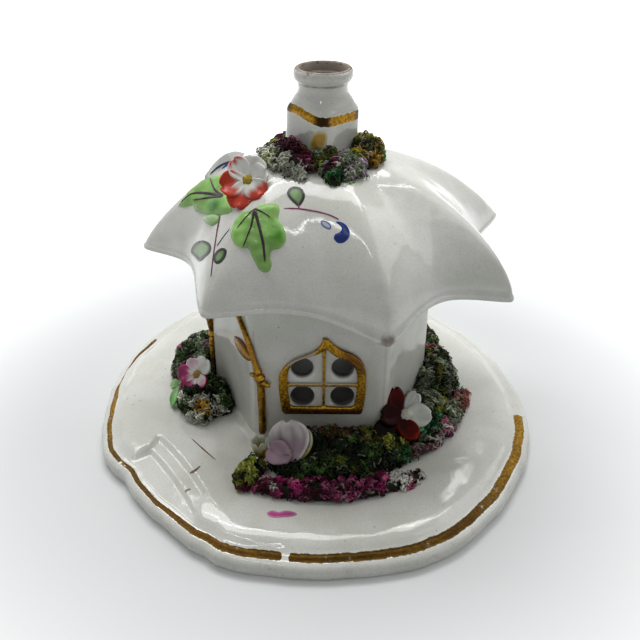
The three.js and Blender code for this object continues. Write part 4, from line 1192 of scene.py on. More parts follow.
def spots_on(bed, density, rng):
    """Random places on the outer faces of a bed, in millimetres, with their normals."""
    mesh = bed.data
    mesh.calc_loop_triangles()
    vertices = np.array([v.co[:] for v in mesh.vertices]) / MM
    corners = vertices[np.array([t.vertices[:] for t in mesh.loop_triangles])]
    cross = np.cross(corners[:, 1] - corners[:, 0], corners[:, 2] - corners[:, 0])
    area = np.linalg.norm(cross, axis=1) / 2
    normal = cross / np.maximum(2 * area, 1e-9)[:, None]
    middle = corners.mean(1)
    off_walls = distance_to_walls(middle[:, 0] - COTTAGE[0], middle[:, 1] - COTTAGE[1])
    high = middle[:, 2] > ROOF_TOP - BANKS_UNDER_ROOF
    in_air = np.where(middle[:, 2] < ROOF_BANKS_FROM, off_walls > WALL_CLEAR, high)
    weight = area * (normal[:, 2] > LOWEST_TILT) * in_air
    count = int(weight.sum() * density)
    chosen = rng.choice(len(area), count, p=weight / weight.sum())
    a, b = rng.random((2, count))
    flip = a + b > 1
    a[flip], b[flip] = 1 - a[flip], 1 - b[flip]
    first, second, third = (corners[chosen, k] for k in range(3))
    places = first + a[:, None] * (second - first) + b[:, None] * (third - first)
    clear = np.ones(count, bool)
    for middle, reach in KEEP_CLEAR:
        clear &= np.linalg.norm(places - middle, axis=1) > reach
    return places[clear], normal[chosen][clear]


# %% Growing tufts
LUMP_SIZE = 3.4  # millimetres across a lump of the bank
BARE_CLAY = "9fa08f"
BARE_SHARE = 0.05
CURLS_PER_TUFT = 6
CURL_LENGTH = 2.1
CURL_RADIUS = 0.27
TUFTS_PER_AREA = 0.62  # in a square millimetre
BED_VOXEL = 0.8
BED_PASSES = 4


def bed_of(bank, shape):
    """A copy of a bank, softened and then drawn in by a function of its points."""
    bed = melted("moss_" + bank, "bed_" + bank, BED_VOXEL, BED_PASSES, moss_bed_in_shade)
    points = points_of(bed)
    if shape is not None:
        points = shape(points)
    bed.data.vertices.foreach_set("co", (points * MM).astype(np.float32).ravel())
    bed.data.update()
    return bed


def grow(name, places, normals, slot_name, palette, seed, rng, length=CURL_LENGTH, retint=None):
    """Grows tufts of curls at places. palette is a list of (hex colour, share)."""
    along, beyond = Vector((seed * 7.1, 0, 0)), Vector((0, seed * 3.3, 0))
    drift = np.array([noise.noise(Vector(p) * 0.2 + along) for p in places])
    lumps = np.array([noise.noise(Vector(p) / LUMP_SIZE + beyond) for p in places])
    order = np.argsort(np.argsort(drift + rng.normal(0, 0.07, len(drift)))) / max(1, len(drift))
    shares = np.cumsum([share for _, share in palette])
    picked = np.searchsorted(shares / shares[-1], order, side="right").clip(0, len(palette) - 1)
    colours = np.array([paint(code) for code, _ in palette])[picked]
    if retint is not None:
        colours = retint(places, colours, rng)
    tuft_of = np.repeat(np.arange(len(places)), CURLS_PER_TUFT)
    count = len(tuft_of)
    normal, lump, colour = normals[tuft_of], lumps[tuft_of], colours[tuft_of]
    spread = rng.normal(0, 1, (count, 3))
    spread -= normal * (spread * normal).sum(1)[:, None]
    ways = unit(unit(spread) + normal * rng.normal(0, 0.25, (count, 1)))
    ups = normal + 0.35 * rng.normal(0, 1, (count, 3)) + [0, 0, 0.35]
    ups = unit(ups - ways * (ups * ways).sum(1)[:, None])
    risen = 1.25 * lump + 0.3 * rng.random(count) - 0.1
    starts = places[tuft_of] + 0.45 * spread + normal * risen[:, None]
    lengths = length * rng.uniform(0.6, 1.25, count)
    heights = 0.42 * lengths * rng.uniform(0.5, 1.3, count)
    sway = 0.25 * lengths * rng.normal(0, 1, count)
    radii = CURL_RADIUS * rng.uniform(0.7, 1.2, count)
    # painted shade: curls in the bank's hollows are darker and those on its lumps lighter, on top of
    # a random tone; pale clay keeps more of its own tone
    shading = rng.uniform(0.35, 1.45, (count, 1)) * np.clip(1.0 + 1.9 * lump, 0.15, 1.9)[:, None]
    pale = ease(colour[:, :3].max(1), 0.15, 0.45)[:, None]
    tint = colour * (shading + (0.95 - shading) * 0.6 * pale)
    bare = rng.random(count) < BARE_SHARE
    tint[bare] = 0.6 * tint[bare] + 0.4 * tone(BARE_CLAY)
    points, faces, enamel_colours = curls(starts, ways, ups, lengths, heights, sway, radii, tint)
    finished(mesh_piece(name, points, faces, moss, enamel_colours), slot_name)
    return count


def tuft_banks(banks):
    """Covers beds, each standing for its CAD bank, with curls; returns how many there are."""
    total = 0
    for bank, slot_name, palette, seed, special in banks:
        rng = np.random.default_rng(seed)
        bed = bed_of(bank, special.pop("shape", None))
        finished(bed, slot_name, "moss_" + bank)
        places, normals = spots_on(bed, TUFTS_PER_AREA, rng)
        total += grow("tufts_" + bank, places, normals, slot_name, palette, seed, rng, **special)
    return total


# %% [markdown]
# Each bank has its own drift of colours, read off the photograph for the sides it shows, and made
# in the same spirit for the back. Where the photograph shows one colour in one place, a rule tints
# the tufts that are seen there.

# %% Clay colours and rules
DARK = "141d0d"
GREEN = "31461f"
SAGE = "646e58"
PALE_SAGE = "8b907c"
LIME = "70742c"
OLIVE = "4c4c1e"
CLAY = "a9a99c"
PALE_CLAY = "b9bcab"
WHITE_CLAY = "c9c9c0"
CREAM_CLAY = "c6c7b8"
ROSE = "82405c"
PALE_ROSE = "94707e"
DUSTY_ROSE = "8a4a5e"
MAUVE = "8a4f6c"
BRICK = "a05a54"
PINK_BROWN = "8a5a58"
GREY_PINK = "8a6468"
RUST = "4a2a22"
MAROON = "430e22"
MAGENTA = "701a46"
LILAC = "99859a"
EMERALD = "22603a"
LEAF_NUB = "4c7a38"
OCHRE = "96742a"


def tinted(*rules):
    """Tints a share of the tufts where each rule says: a test of places, or an oval of pixels."""
    def retint(places, colours, rng):
        for where, share, colour in rules:
            if callable(where):
                there = where(places)
            else:
                there = (((pixels_of(places) - where[:2]) / where[2:]) ** 2).sum(1) < 1
            colours[there & (rng.random(len(places)) < share)] = paint(colour)
        return colours
    return retint


BORDER_OUT = 56.6  # from the cottage to the outer edge of the front border


def far_out(places):
    return np.hypot(places[:, 0] - COTTAGE[0], places[:, 1] - COTTAGE[1]) > BORDER_OUT


front_tint = tinted(
    ((335, 428, 26, 10), 0.55, RUST),
    ((383, 440, 21, 9), 0.75, LIME),
    ((411, 459, 11, 12), 0.75, EMERALD),
)
border_tint = tinted(
    (far_out, 0.45, PALE_ROSE),
    ((412, 478, 24, 12), 0.9, WHITE_CLAY),
    ((268, 480, 10, 12), 0.5, CLAY),
)
clump_tint = tinted((lambda places: places[:, 2] < 9.6, 0.85, MAROON))
left_tint = tinted(
    ((194, 411, 32, 19), 0.75, CREAM_CLAY),
    ((185, 408, 6, 10), 0.7, GREEN),
    ((202, 407, 6, 7), 0.9, OCHRE),
    ((198, 328, 12, 8), 0.7, PINK_BROWN),
)
right_tint = tinted(
    ((443, 407, 9, 9), 0.7, LIME),
    ((428, 426, 11, 12), 0.7, EMERALD),
    ((434, 342, 9, 9), 0.7, DUSTY_ROSE),
    ((467, 403, 10, 11), 0.75, BRICK),
    ((420, 450, 12, 10), 0.6, GREY_PINK),
    ((450, 438, 14, 10), 0.6, MAUVE),
)

# %% Banks that are smaller than their solids
CLUMP_AT = np.array([-17.6, -43.2])
CLUMP_SHARE = 0.58
BACK_SHARE = 0.78
NARROWED_BY = 0.15  # of how far a point stands out from the walls


def pressed_down(points, level, share):
    """The points with what is above a level lowered to a share of its height."""
    risen = points[:, 2] - level
    points[:, 2] = np.where(risen > 0, level + risen * share, points[:, 2])
    return points


def drawn_in(points):
    """The yellow-green clump beside the blossom is smaller than its bank."""
    points[:, :2] = CLUMP_AT + (points[:, :2] - points[:, :2].mean(0)) * CLUMP_SHARE
    points[:, 2] = GROUND + (points[:, 2] - GROUND) * 0.92
    return points


def drawn_back(points):
    """The bank left of the door keeps its back end and is smaller than its solid."""
    back = points[points[:, 1] > np.quantile(points[:, 1], 0.85)].mean(0)[:2]
    points[:, :2] = back + (points[:, :2] - back) * BACK_SHARE
    low = points[:, 1] < back[1] - 12
    points[low, 2] = GROUND + (points[low, 2] - GROUND) * 0.85
    return points


def narrowed(points):
    """A bank on the right that reaches less far from the walls than its solid."""
    flat = points[:, :2] - COTTAGE[:2]
    out = np.maximum(0, distance_to_walls(flat[:, 0], flat[:, 1]))
    radius = np.linalg.norm(flat, axis=1)
    points[:, :2] = COTTAGE[:2] + flat * ((radius - NARROWED_BY * out) / radius)[:, None]
    return points


def worn_end(points):
    """The border sinks into the glaze at its right end."""
    return pressed_down(points, GROUND, 1 - 0.55 * ease(points[:, 0] - COTTAGE[0], 17, 23))


def lowered(share):
    """A bank round the chimney that stands lower than its solid."""
    return lambda points: pressed_down(points, ROOF_TOP - 2, share)


# %% The garden banks
RIGHT = dict(retint=right_tint, shape=narrowed)
GARDEN_BANKS = [  # bank, slot, palette, seed and what is special
    ("front", "moss_green", [(DARK, 6), (GREEN, 2.5), (OLIVE, 1)], 11, dict(retint=front_tint)),
    (
        "front_border", "moss_pink", [(MAROON, 3), (ROSE, 1.5), (MAGENTA, 3), (ROSE, 2)], 12,
        dict(length=1.5, retint=border_tint, shape=worn_end),
    ),
    (
        "front_left", "moss_yellow", [(LIME, 5), (GREEN, 2), (LIME, 2), (DARK, 1)], 13,
        dict(retint=clump_tint, shape=drawn_in),
    ),
    (
        "right_front", "moss_green",
        [(SAGE, 3), (PALE_SAGE, 3), (GREEN, 2), (DARK, 1.5), (OLIVE, 1)], 14, dict(RIGHT),
    ),
    (
        "right_border", "moss_pink", [(SAGE, 2), (PALE_SAGE, 3), (ROSE, 1), (CLAY, 2)], 15,
        dict(RIGHT),
    ),
    (
        "right_back", "moss_grey",
        [(SAGE, 3), (PALE_SAGE, 3), (GREEN, 1), (DARK, 1.5), (OLIVE, 1)], 16, dict(RIGHT),
    ),
    ("back_right", "moss_green", [(GREEN, 3), (LIME, 1), (MAROON, 1), (SAGE, 1)], 17, {}),
    ("back_left", "moss_green", [(GREEN, 3), (ROSE, 1), (SAGE, 2), (OLIVE, 1)], 18, {}),
    ("left_back", "moss_green", [(DARK, 2), (GREEN, 3), (SAGE, 3), (ROSE, 1)], 19, {}),
    (
        "left", "moss_green", [(DARK, 3), (GREEN, 2), (SAGE, 1)], 20,
        dict(retint=left_tint, shape=drawn_back),
    ),
]
print("curls in the garden", tuft_banks(GARDEN_BANKS))

# %% The banks round the chimney
MAROON_STRING = np.array([(262, 126), (276, 138), (292, 149), (306, 161), (328, 179)])


def below_string(places):
    """How many pixels below the maroon string places are seen, and their pixels across."""
    seen = pixels_of(places)
    return seen[:, 1] - np.interp(seen[:, 0], *MAROON_STRING.T), seen[:, 0]


def beyond_string(places):
    below, across = below_string(places)
    return (across < 274) & (below > -4)


left_chimney_tint = tinted(
    (lambda places: below_string(places)[0] > 9, 0.9, PALE_CLAY),
    (lambda places: below_string(places)[0] < -8, 0.7, OLIVE),
    (beyond_string, 0.85, LIME),
)
right_chimney_tint = tinted((lambda places: pixels_of(places)[:, 0] > 380, 0.8, LEAF_NUB))
CHIMNEY_BANKS = [
    (
        "chimney_left", "moss_maroon", [(MAROON, 5), (DARK, 0.6), (ROSE, 1.4), (OLIVE, 0.6)], 31,
        dict(retint=left_chimney_tint),
    ),
    (
        "chimney_front", "moss_grey",
        [(SAGE, 3), (CLAY, 1.5), (MAROON, 1), (GREEN, 1.5), (LILAC, 2)], 32, {},
    ),
    (
        "chimney_right", "moss_yellow",
        [(OLIVE, 2), (OCHRE, 2), (CLAY, 0.8), (LIME, 2), (SAGE, 1)], 33,
        dict(retint=right_chimney_tint, shape=lowered(0.9)),
    ),
    (
        "chimney_back_right", "moss_grey", [(SAGE, 2), (GREEN, 2), (MAROON, 1)], 34,
        dict(shape=lowered(0.62)),
    ),
    (
        "chimney_back_left", "moss_green", [(GREEN, 2), (LIME, 1), (SAGE, 1), (MAROON, 1)], 35,
        dict(shape=lowered(0.5)),
    ),
]
print("curls round the chimney", tuft_banks(CHIMNEY_BANKS))

# %% [markdown]
# ## Flowers
# Each flower was pinched from clay petal by petal and pressed on with a brush handle. A petal is a
# small curved sheet that narrows to its root, lifts towards its rim and ruffles there; a solidify
# and a subdivision give it the soft thickness of clay. The enamel is painted on the petals' ends
# only, so the colour on each point is chosen by how far out it lies.

# %% A petal


PETAL_STEPS = 11
CREASE_SHADE = 0.38  # how much painted shade darkens a crease


def petal_grid(length, width, rise, cup, ruffle, phase, crease):
    """A petal that lies along +X from its root at the origin; returns points, and u and v."""
    steps = np.linspace(0, 1, PETAL_STEPS)
    u, v = np.meshgrid(steps, np.linspace(-1, 1, PETAL_STEPS), indexing="ij")
    swell = 0.28 + 0.72 * np.sin(0.5 * pi * np.minimum(1, u / 0.6))
    swell = swell * np.sqrt(np.maximum(0.02, 1 - (np.maximum(0, u - 0.6) / 0.42) ** 2))
    notch = 1 - 0.09 * np.cos(0.5 * pi * v) ** 6 * u**4
    x = length * u * notch * (1 - 0.06 * v**2)
    y = 0.5 * width * v * swell
    z = rise * u**1.6 + cup * v**2 * swell * (1 - 0.3 * u) + ruffle * np.sin(3.3 * v + phase) * u**2
    z = z + crease * np.sin(10 * v + phase) * u * (1.1 - 0.5 * u)
    return np.stack([x, y, z], -1).reshape(-1, 3), u.ravel(), v.ravel()


def spot_frame(point, normal):
    """The rotation and place that carry a flower from the origin to its spot."""
    turn = Vector((0, 0, 1)).rotation_difference(Vector(normal)).to_matrix()
    return np.array(turn), np.array(point) + COTTAGE


def mixed(first, second, share):
    """Two arrays of colours, mixed by a share for each point."""
    return first * (1 - share) + second * share


def petal(angle, length, width, rise, inner, outer=None, ruffle=0.5, **more):
    """A petal's form and colours; outer is the same as inner unless it is given."""
    form = dict(cup=0.6, crease=0.0, root=(0, 0), begin=0.35)
    form.update(angle=angle, length=length, width=width, rise=rise, ruffle=ruffle)
    form.update(inner=inner, outer=outer or inner, **more)
    return form


# %% A flower


def flower(name, nodes, spot, petals, slot_name, thickness=0.75, material=enamel):
    """A flower of petals, each thickened and rounded like clay, that stands for its CAD nodes."""
    turn, at = spot_frame(*spot)
    points, faces, colours = [], [], []
    for i, form in enumerate(petals):
        phase, crease = form.get("phase", 1.7 * i), form["crease"]
        size = [form[label] for label in ("length", "width", "rise", "cup", "ruffle")]
        grid, u, v = petal_grid(*size, phase, crease)
        angle = radians(form["angle"])
        back = np.array([[cos(angle), sin(angle), 0], [-sin(angle), cos(angle), 0], [0, 0, 1]])
        grid = grid @ back + [*form["root"], form.get("lift", 0.1 * i)]
        start = PETAL_STEPS**2 * i
        faces += [tuple(start + k for k in f) for f in grid_faces(PETAL_STEPS, PETAL_STEPS)]
        points.append(grid @ turn.T + at)
        inner, outer = tone(form["inner"]), tone(form["outer"])
        reach, begin = u + 0.10 * np.sin(9 * v + i) * u, form["begin"]
        colour = mixed(inner, outer, ease(reach, begin, begin + 0.3)[:, None])
        # painted shade along the petal's creases
        fold_shade = ease(-np.sin(10 * v + phase), 0.1, 1.0) * u * min(1, 3 * crease)
        colour = colour * (1 - CREASE_SHADE * fold_shade[:, None])
        if "edge" in form:
            rim = ease(np.maximum(u, np.abs(v) * 0.96), 0.8, 0.97)[:, None]
            colour = mixed(colour, tone(form["edge"]), rim)
        colours.append(colour)
    piece = mesh_piece(name, np.concatenate(points), faces, material, np.concatenate(colours))
    solid = piece.modifiers.new("clay", "SOLIDIFY")
    solid.thickness = thickness * MM
    solid.offset = 0
    smooth = piece.modifiers.new("rounded", "SUBSURF")
    smooth.levels = 1
    smooth.render_levels = 1
    return finished(bake(piece), slot_name, *nodes)


# %% A flower's heart
HEART_ROWS, HEART_COLUMNS = 12, 28


def heart(name, spot, node, radius, height, colour, slot_name="yellow_enamel", at=(0, 0, 0.6)):
    """The flower's heart: a low cushion pricked with small pits."""
    turn, place = spot_frame(*spot)
    rows = np.linspace(0.02, 1, HEART_ROWS)
    u, v = np.meshgrid(rows, full_circle(HEART_COLUMNS), indexing="ij")
    dome = np.cos(0.5 * pi * u) ** 0.7
    pits = 1 + 0.12 * np.sin(5 * v + 9 * u) * np.sin(9 * u)
    out = radius * np.sin(0.5 * pi * u)
    local = np.stack([out * np.cos(v) * pits, out * np.sin(v) * pits, height * dome * pits], -1)
    points = (local.reshape(-1, 3) + np.array(at)) @ turn.T + place
    faces = ring_faces(HEART_ROWS, HEART_COLUMNS)
    faces.append(tuple(range(HEART_COLUMNS))[::-1])
    # painted shade: the heart is darker towards its rim and lighter on its crown
    colours = tone(colour) * (0.75 + 0.35 * dome.ravel())[:, None]
    colours[:, 3] = 1
    return finished(mesh_piece(name, points, faces, enamel, colours), slot_name, node)


# %% The flower on the roof
PETAL_WHITE = "dcdcd6"
CORAL = "b93a24"
OCHRE_HEART = "94801e"
flower(
    "flower_on_roof", ["flower_roof"], ROOF_FLOWER,
    [
        petal(16, 5.8, 7.6, 1.3, PETAL_WHITE, ruffle=0.4),
        petal(70, 7.2, 8.8, 1.4, PETAL_WHITE, ruffle=0.35),
        petal(120, 7.6, 6.4, 1.2, PETAL_WHITE, CORAL, 0.3, begin=0.68),
        petal(186, 8.0, 8.0, 0.7, PETAL_WHITE, CORAL, 0.7, begin=0.24),
        petal(244, 8.8, 8.2, 0.6, PETAL_WHITE, CORAL, 0.7, begin=0.24),
        petal(304, 7.0, 7.0, 0.9, PETAL_WHITE, CORAL, begin=0.36),
    ],
    "coral_enamel",
)
heart("heart_on_roof", ROOF_FLOWER, "flower_roof_heart", 1.5, 0.7, OCHRE_HEART)
print("roof flower faces", ROOF_FLOWER[1].round(2))

# %% The flower on the left bank
PINK = "a8326a"
PALE_PINK = "e3c6d2"
flower(
    "flower_on_left", ["flower_left"], LEFT_FLOWER,
    [
        petal(35, 6.4, 6.6, 2.4, PETAL_WHITE),
        petal(105, 5.6, 5.4, 2.2, PETAL_WHITE, "d8b9c6"),
        petal(160, 6.6, 5.6, 2.0, PETAL_WHITE, PINK, 0.6, begin=0.3),
        petal(222, 6.6, 5.6, 1.8, PALE_PINK, PINK, 0.7, edge="8c1c4e", begin=0.25),
        petal(290, 6.2, 5.8, 2.0, PETAL_WHITE, "d9a3b8", 0.6, edge="9a1f3a", begin=0.4),
    ],
    "pink_enamel",
)
heart("heart_on_left", LEFT_FLOWER, "flower_left_heart", 1.4, 0.7, "a07a2a")
print("left flower faces", LEFT_FLOWER[1].round(2))

# %% The lilac bloom in front: three broad petals that fan from its foot like a shell
LILAC_HOLLOW = "a8929c"
flower(
    "flower_in_front", ["flower_front"], FRONT_FLOWER,
    [
        petal(62, 10.2, 7.0, 1.5, "a9a564", "b7b59a", 0.3, root=(0.1, -5.6), lift=1.6),
        petal(
            86, 12.2, 12.8, 2.6, "ae98a2", "cdc6c6", 0.6, edge="dad6d2", cup=1.5, crease=0.42,
            phase=0.6, root=(-0.6, -5.8), lift=2.4, begin=0.45,
        ),
        petal(
            138, 7.2, 7.4, 2.2, LILAC_HOLLOW, "b497a4", 0.4, cup=1.3, crease=0.2,
            root=(-0.8, -5.2), lift=3.3,
        ),
    ],
    "lilac_enamel",
    0.9,
)
heart(
    "heart_in_front", FRONT_FLOWER, "flower_front_heart", 1.3, 1.2, LILAC_HOLLOW, "lilac_enamel",
    (-1.2, -2.6, 3.6),
)
print("lilac bloom faces", FRONT_FLOWER[1].round(2))

# %% The closed blossom beside it, white above and yellow at its foot
BLOSSOM_PETALS = 6
STRAW = "ae8c24"
flower(
    "closed_blossom", ["blossom_bud"], CLOSED_BLOSSOM,
    [
        petal(angle, 2.3, 2.9, 7.6, STRAW, "c6ccbc", 0.15, cup=0.3, crease=0.1, begin=0.6)
        for angle in range(0, 360, 360 // BLOSSOM_PETALS)
    ],
    "straw_enamel",
    0.6,
)
print("closed blossom of", BLOSSOM_PETALS, "petals")

# %% The crimson and white flower on the right: thick lobes, the dark ones overlapping to the left
CRIMSON = "380505"
flower(
    "flower_on_right", ["flower_right"], RIGHT_FLOWER,
    [
        petal(222, 7.8, 6.8, 0.6, "1a0203", "120203", 0.2, root=(-2, -1), lift=0.7),
        petal(
            322, 8.4, 6.0, 1.0, "2c0304", "4a0805", 0.3, edge="7c1e0c", root=(-2, -0.6), lift=1.5,
        ),
        petal(184, 7.0, 6.8, 1.4, CRIMSON, "2c0404", 0.3, root=(-0.4, 0.6), lift=1.7),
        petal(104, 8.0, 5.6, 2.2, CRIMSON, "4a0806", 0.2, root=(-1.9, 0.8), lift=1.9),
    ],
    "crimson_enamel",
    1.4,
    deep_enamel,
)
flower(
    "white_petals_on_right", [], RIGHT_FLOWER,
    [
        petal(66, 6.8, 4.8, 1.8, PETAL_WHITE, crease=0.15, root=(0.8, 1.8), lift=0.8),
        petal(6, 8.8, 7.4, 1.8, PETAL_WHITE, "ced4cb", 0.9, crease=0.2, root=(-0.4, 0.6), lift=1.3),
        petal(334, 6.8, 4.6, 0.4, "9fb59a", "5f9c76", root=(0.6, 0.4), lift=0.7),
    ],
    "straw_enamel",
    1.0,
)
heart(
    "heart_on_right", RIGHT_FLOWER, "flower_right_heart", 1.9, 0.9, "c9c7ba", "straw_enamel",
    (0.6, 0.9, 1.9),
)
print("right flower faces", RIGHT_FLOWER[1].round(2))

# %% [markdown]
# ## Leaves and painted sprays
# The leaves are thin pressed clay, draped on the roof while soft. The sprays around them are only
# paint. Both are outlined with pixels of the photograph, and each point is cast onto the surface
# that carries it, so they sit on the roof from any side. A leaf swells away from its outline; paint
# lies almost flat. Veins and stems are strokes: narrow ribbons that follow the surface and taper.

# %% Casting pixels at a surface


def cast(px, py, surface):
    """Where the ray through a pixel meets a surface: its point in millimetres and its normal."""
    point, normal, _, _ = surface.ray_cast(CAMERA_AT, sight(px, py))
    if point is None:
        return None
    return np.array(point) / MM, np.array(normal)


def landed(hits):
    """The points and the normals of hits, as two arrays."""
    return (np.array(column) for column in zip(*hits))


def sides(outline):
    """The sides of a closed outline, each from one corner to the next."""
    return zip(outline, np.roll(outline, -1, axis=0))


def edge_distance(points, outline):
    """From each point to the nearest side of a closed outline."""
    best = np.full(len(points), 1e9)
    for a, b in sides(outline):
        ab = b - a
        t = np.clip(((points - a) @ ab) / max(ab @ ab, 1e-12), 0, 1)
        best = np.minimum(best, np.linalg.norm(points - a - t[:, None] * ab, axis=1))
    return best


def inside_outline(points, outline):
    inside = np.zeros(len(points), bool)
    for a, b in sides(outline):
        crosses = (a[1] > points[:, 1]) != (b[1] > points[:, 1])
        slope = (b[0] - a[0]) / (b[1] - a[1] if abs(b[1] - a[1]) > 1e-12 else 1e-12)
        inside ^= crosses & (points[:, 0] < a[0] + (points[:, 1] - a[1]) * slope)
    return inside


# %% A patch
MISSED = ((0, 0, 0), (0, 0, 1))


def patch(name, pixels, surface, spacing, height, colour_at, slot_name, nodes=()):
    """A piece cast onto a surface from an outline in pixels; depth inside it sets its look."""
    outline = smooth_curve(pixels, max(24, 8 * len(pixels)), closed=True)
    across, down = (np.arange(*ends, spacing) for ends in zip(outline.min(0), outline.max(0)))
    grid = np.stack(np.meshgrid(across, down), -1).reshape(-1, 2)
    grid = grid[inside_outline(grid, outline)]
    grid = grid[edge_distance(grid, outline) > 0.45 * spacing]
    count = len(outline)
    loop = [(i, (i + 1) % count) for i in range(count)]
    flat = [Vector(p) for p in np.vstack([outline, grid])]
    flat, _, faces, *_ = delaunay_2d_cdt(flat, loop, [], 1, 1e-4)
    flat = np.array([p[:] for p in flat])
    depth_inside = np.where(np.arange(len(flat)) < count, 0, edge_distance(flat, outline))
    hits = [cast(*p, surface) for p in flat]
    spots, normals = landed(hit or MISSED for hit in hits)
    spots = spots + normals * np.asarray(height(depth_inside, flat))[:, None]
    faces = [face for face in faces if all(hits[i] for i in face)]
    piece = mesh_piece(name, spots, faces, enamel, colour_at(depth_inside, flat))
    for polygon in piece.data.polygons:
        if polygon.normal.dot(CAMERA_AT - Vector(polygon.center)) < 0:
            polygon.flip()
    return finished(piece, slot_name, *nodes)


# %% A brush stroke
STROKE_COLUMNS = 5


def stroke(name, pixels, surface, widths, colour, slot_name="porcelain", height=0.12):
    """A brush stroke through pixels; widths in millimetres are spread along it."""
    line = smooth_curve(pixels, max(10, 9 * len(pixels)))
    spots, normals = landed(hit for hit in (cast(*p, surface) for p in line) if hit)
    across = np.cross(normals, np.gradient(spots, axis=0))
    across /= np.maximum(np.linalg.norm(across, axis=1), 1e-9)[:, None]
    along = np.linspace(0, 1, len(spots))
    half = 0.5 * np.interp(along, np.linspace(0, 1, len(widths)), widths)
    half = half * np.sqrt(np.minimum(1, np.minimum(along, 1 - along) / 0.08 + 0.05))
    v = np.linspace(-1, 1, STROKE_COLUMNS)
    rise = 0.05 + height * np.sqrt(np.maximum(0, 1 - v**2))
    points = spots[:, None] + across[:, None] * (half[:, None] * v)[..., None]
    points = (points + normals[:, None] * rise[None, :, None]).reshape(-1, 3)
    colours = np.tile(tone(colour), (len(points), 1))
    faces = grid_faces(len(spots), STROKE_COLUMNS)
    return finished(mesh_piece(name, points, faces, enamel, colours), slot_name)


# %% The two leaves on the roof
LEAF_MID = "7fb256"
LEAF_PALE = "a8cc86"
LEAF_DEEP = "468a26"
VEIN = "3b2632"
LEAF_SPACING = 1.1  # pixels between the points of a leaf
RIGHT_LEAF = [
    (253, 209), (260, 204.5), (270, 202.7), (277.5, 204), (280, 209), (278.8, 216), (278.6, 219.5),
    (283.5, 226.5), (286.4, 235), (285.2, 243), (280, 248.8), (272.6, 251), (270.5, 256.5),
    (272.2, 264), (269.7, 271), (264.5, 273), (259.4, 270.4), (255.4, 264.3), (251.6, 256.5),
    (248.2, 249), (243.9, 249), (237.8, 247), (232.7, 242), (230, 233.3), (231.8, 225.5),
    (236, 217.8), (243, 211.8),
]
LEFT_LEAF = [
    (226, 175.5), (218.9, 175), (208.5, 177.4), (201.7, 180), (195, 184.8), (188.7, 190.3),
    (183.6, 197.2), (177.8, 205.6), (184.4, 207.8), (193, 205.8), (194.4, 210), (201.7, 214),
    (213.7, 215.6), (224, 215.2), (231.8, 212.7), (233, 206.6), (231, 200.6), (228.5, 190),
    (228, 181),
]
THIN_VEIN, MAIN_VEIN, LEFT_VEIN = [0.75, 0.5, 0.3], [0.9, 0.8, 0.5], [1.0, 0.7, 0.4]
RIGHT_VEINS = [
    ([(254, 209), (247, 216), (237, 228)], THIN_VEIN),
    ([(254, 210), (251, 226), (243, 247)], THIN_VEIN),
    ([(254, 209), (258, 222), (263, 243), (265, 262)], MAIN_VEIN),
    ([(254, 209), (261, 211), (270, 217)], THIN_VEIN),
]
LEFT_VEINS = [
    ([(223, 196), (215, 190), (210, 178)], LEFT_VEIN),
    ([(223, 196), (204, 193), (191, 194), (181, 202)], LEFT_VEIN),
    ([(223, 196), (210, 197.5), (193, 200)], LEFT_VEIN),
]


def rumpled(flat, across, down, seed):
    """Noise at pixels, drawn out by how fast it runs across and down."""
    return np.array([noise.noise(Vector((x * across, y * down, seed))) for x, y in flat])


DEEP_REACH = 8  # pixels


def leaf_colours(deep_at):
    """Streaked green, deep at one place and pale along the rim."""
    def colour_at(depth_inside, flat):
        deep = near_place(flat, deep_at, DEEP_REACH)[:, None]
        rim = np.exp(-depth_inside / 2.0)[:, None]
        streaks = 0.5 + rumpled(flat, 0.16, 0.09, 4)
        mid, pale, dark = (tone(code) for code in (LEAF_MID, LEAF_PALE, LEAF_DEEP))
        colour = mixed(mixed(mid, pale, 0.35 * streaks[:, None]), dark, deep)
        return mixed(colour, pale, 0.6 * rim)
    return colour_at


def leaf_height(depth_inside, flat):
    """Low at the outline, swelling inward, with a slight crumple."""
    crumple = 0.3 * rumpled(flat, 0.12, 0.12, 9) * np.minimum(1, depth_inside / 3)
    return -0.15 + 1.25 * (1 - np.exp(-depth_inside / 2.6)) + crumple


def draped_leaf(name, node, outline, deep_at):
    """A leaf pressed on the roof; returns its surface, for the veins."""
    colour_at = leaf_colours(deep_at)
    return surface_of(
        patch(
            name, outline, roof_surface, LEAF_SPACING, leaf_height, colour_at, "green_enamel",
            [node],
        )
    )


on_right = draped_leaf("leaf_right", "leaf_roof_right", RIGHT_LEAF, (279, 236))
on_left = draped_leaf("leaf_left_on_roof", "leaf_roof_left", LEFT_LEAF, (218, 208))
for side, surface, veins in (("right", on_right, RIGHT_VEINS), ("left", on_left, LEFT_VEINS)):
    for i, (line, widths) in enumerate(veins):
        stroke(f"vein_{side}_{i}", line, surface, widths, VEIN, "green_enamel")
print("leaves with", len(RIGHT_VEINS), "and", len(LEFT_VEINS), "veins")

# %% The painted sprays


def filled(inner, ring, ring_width):
    """Paint with a darker outline, its width in pixels."""
    def colour_at(depth_inside, flat):
        share = ease(depth_inside, ring_width * 0.7, ring_width * 1.3)[:, None]
        return mixed(tone(ring), tone(inner), share)
    return colour_at


def paint_height(depth_inside, flat):
    return 0.03 + 0.10 * (1 - np.exp(-depth_inside / 1.2))


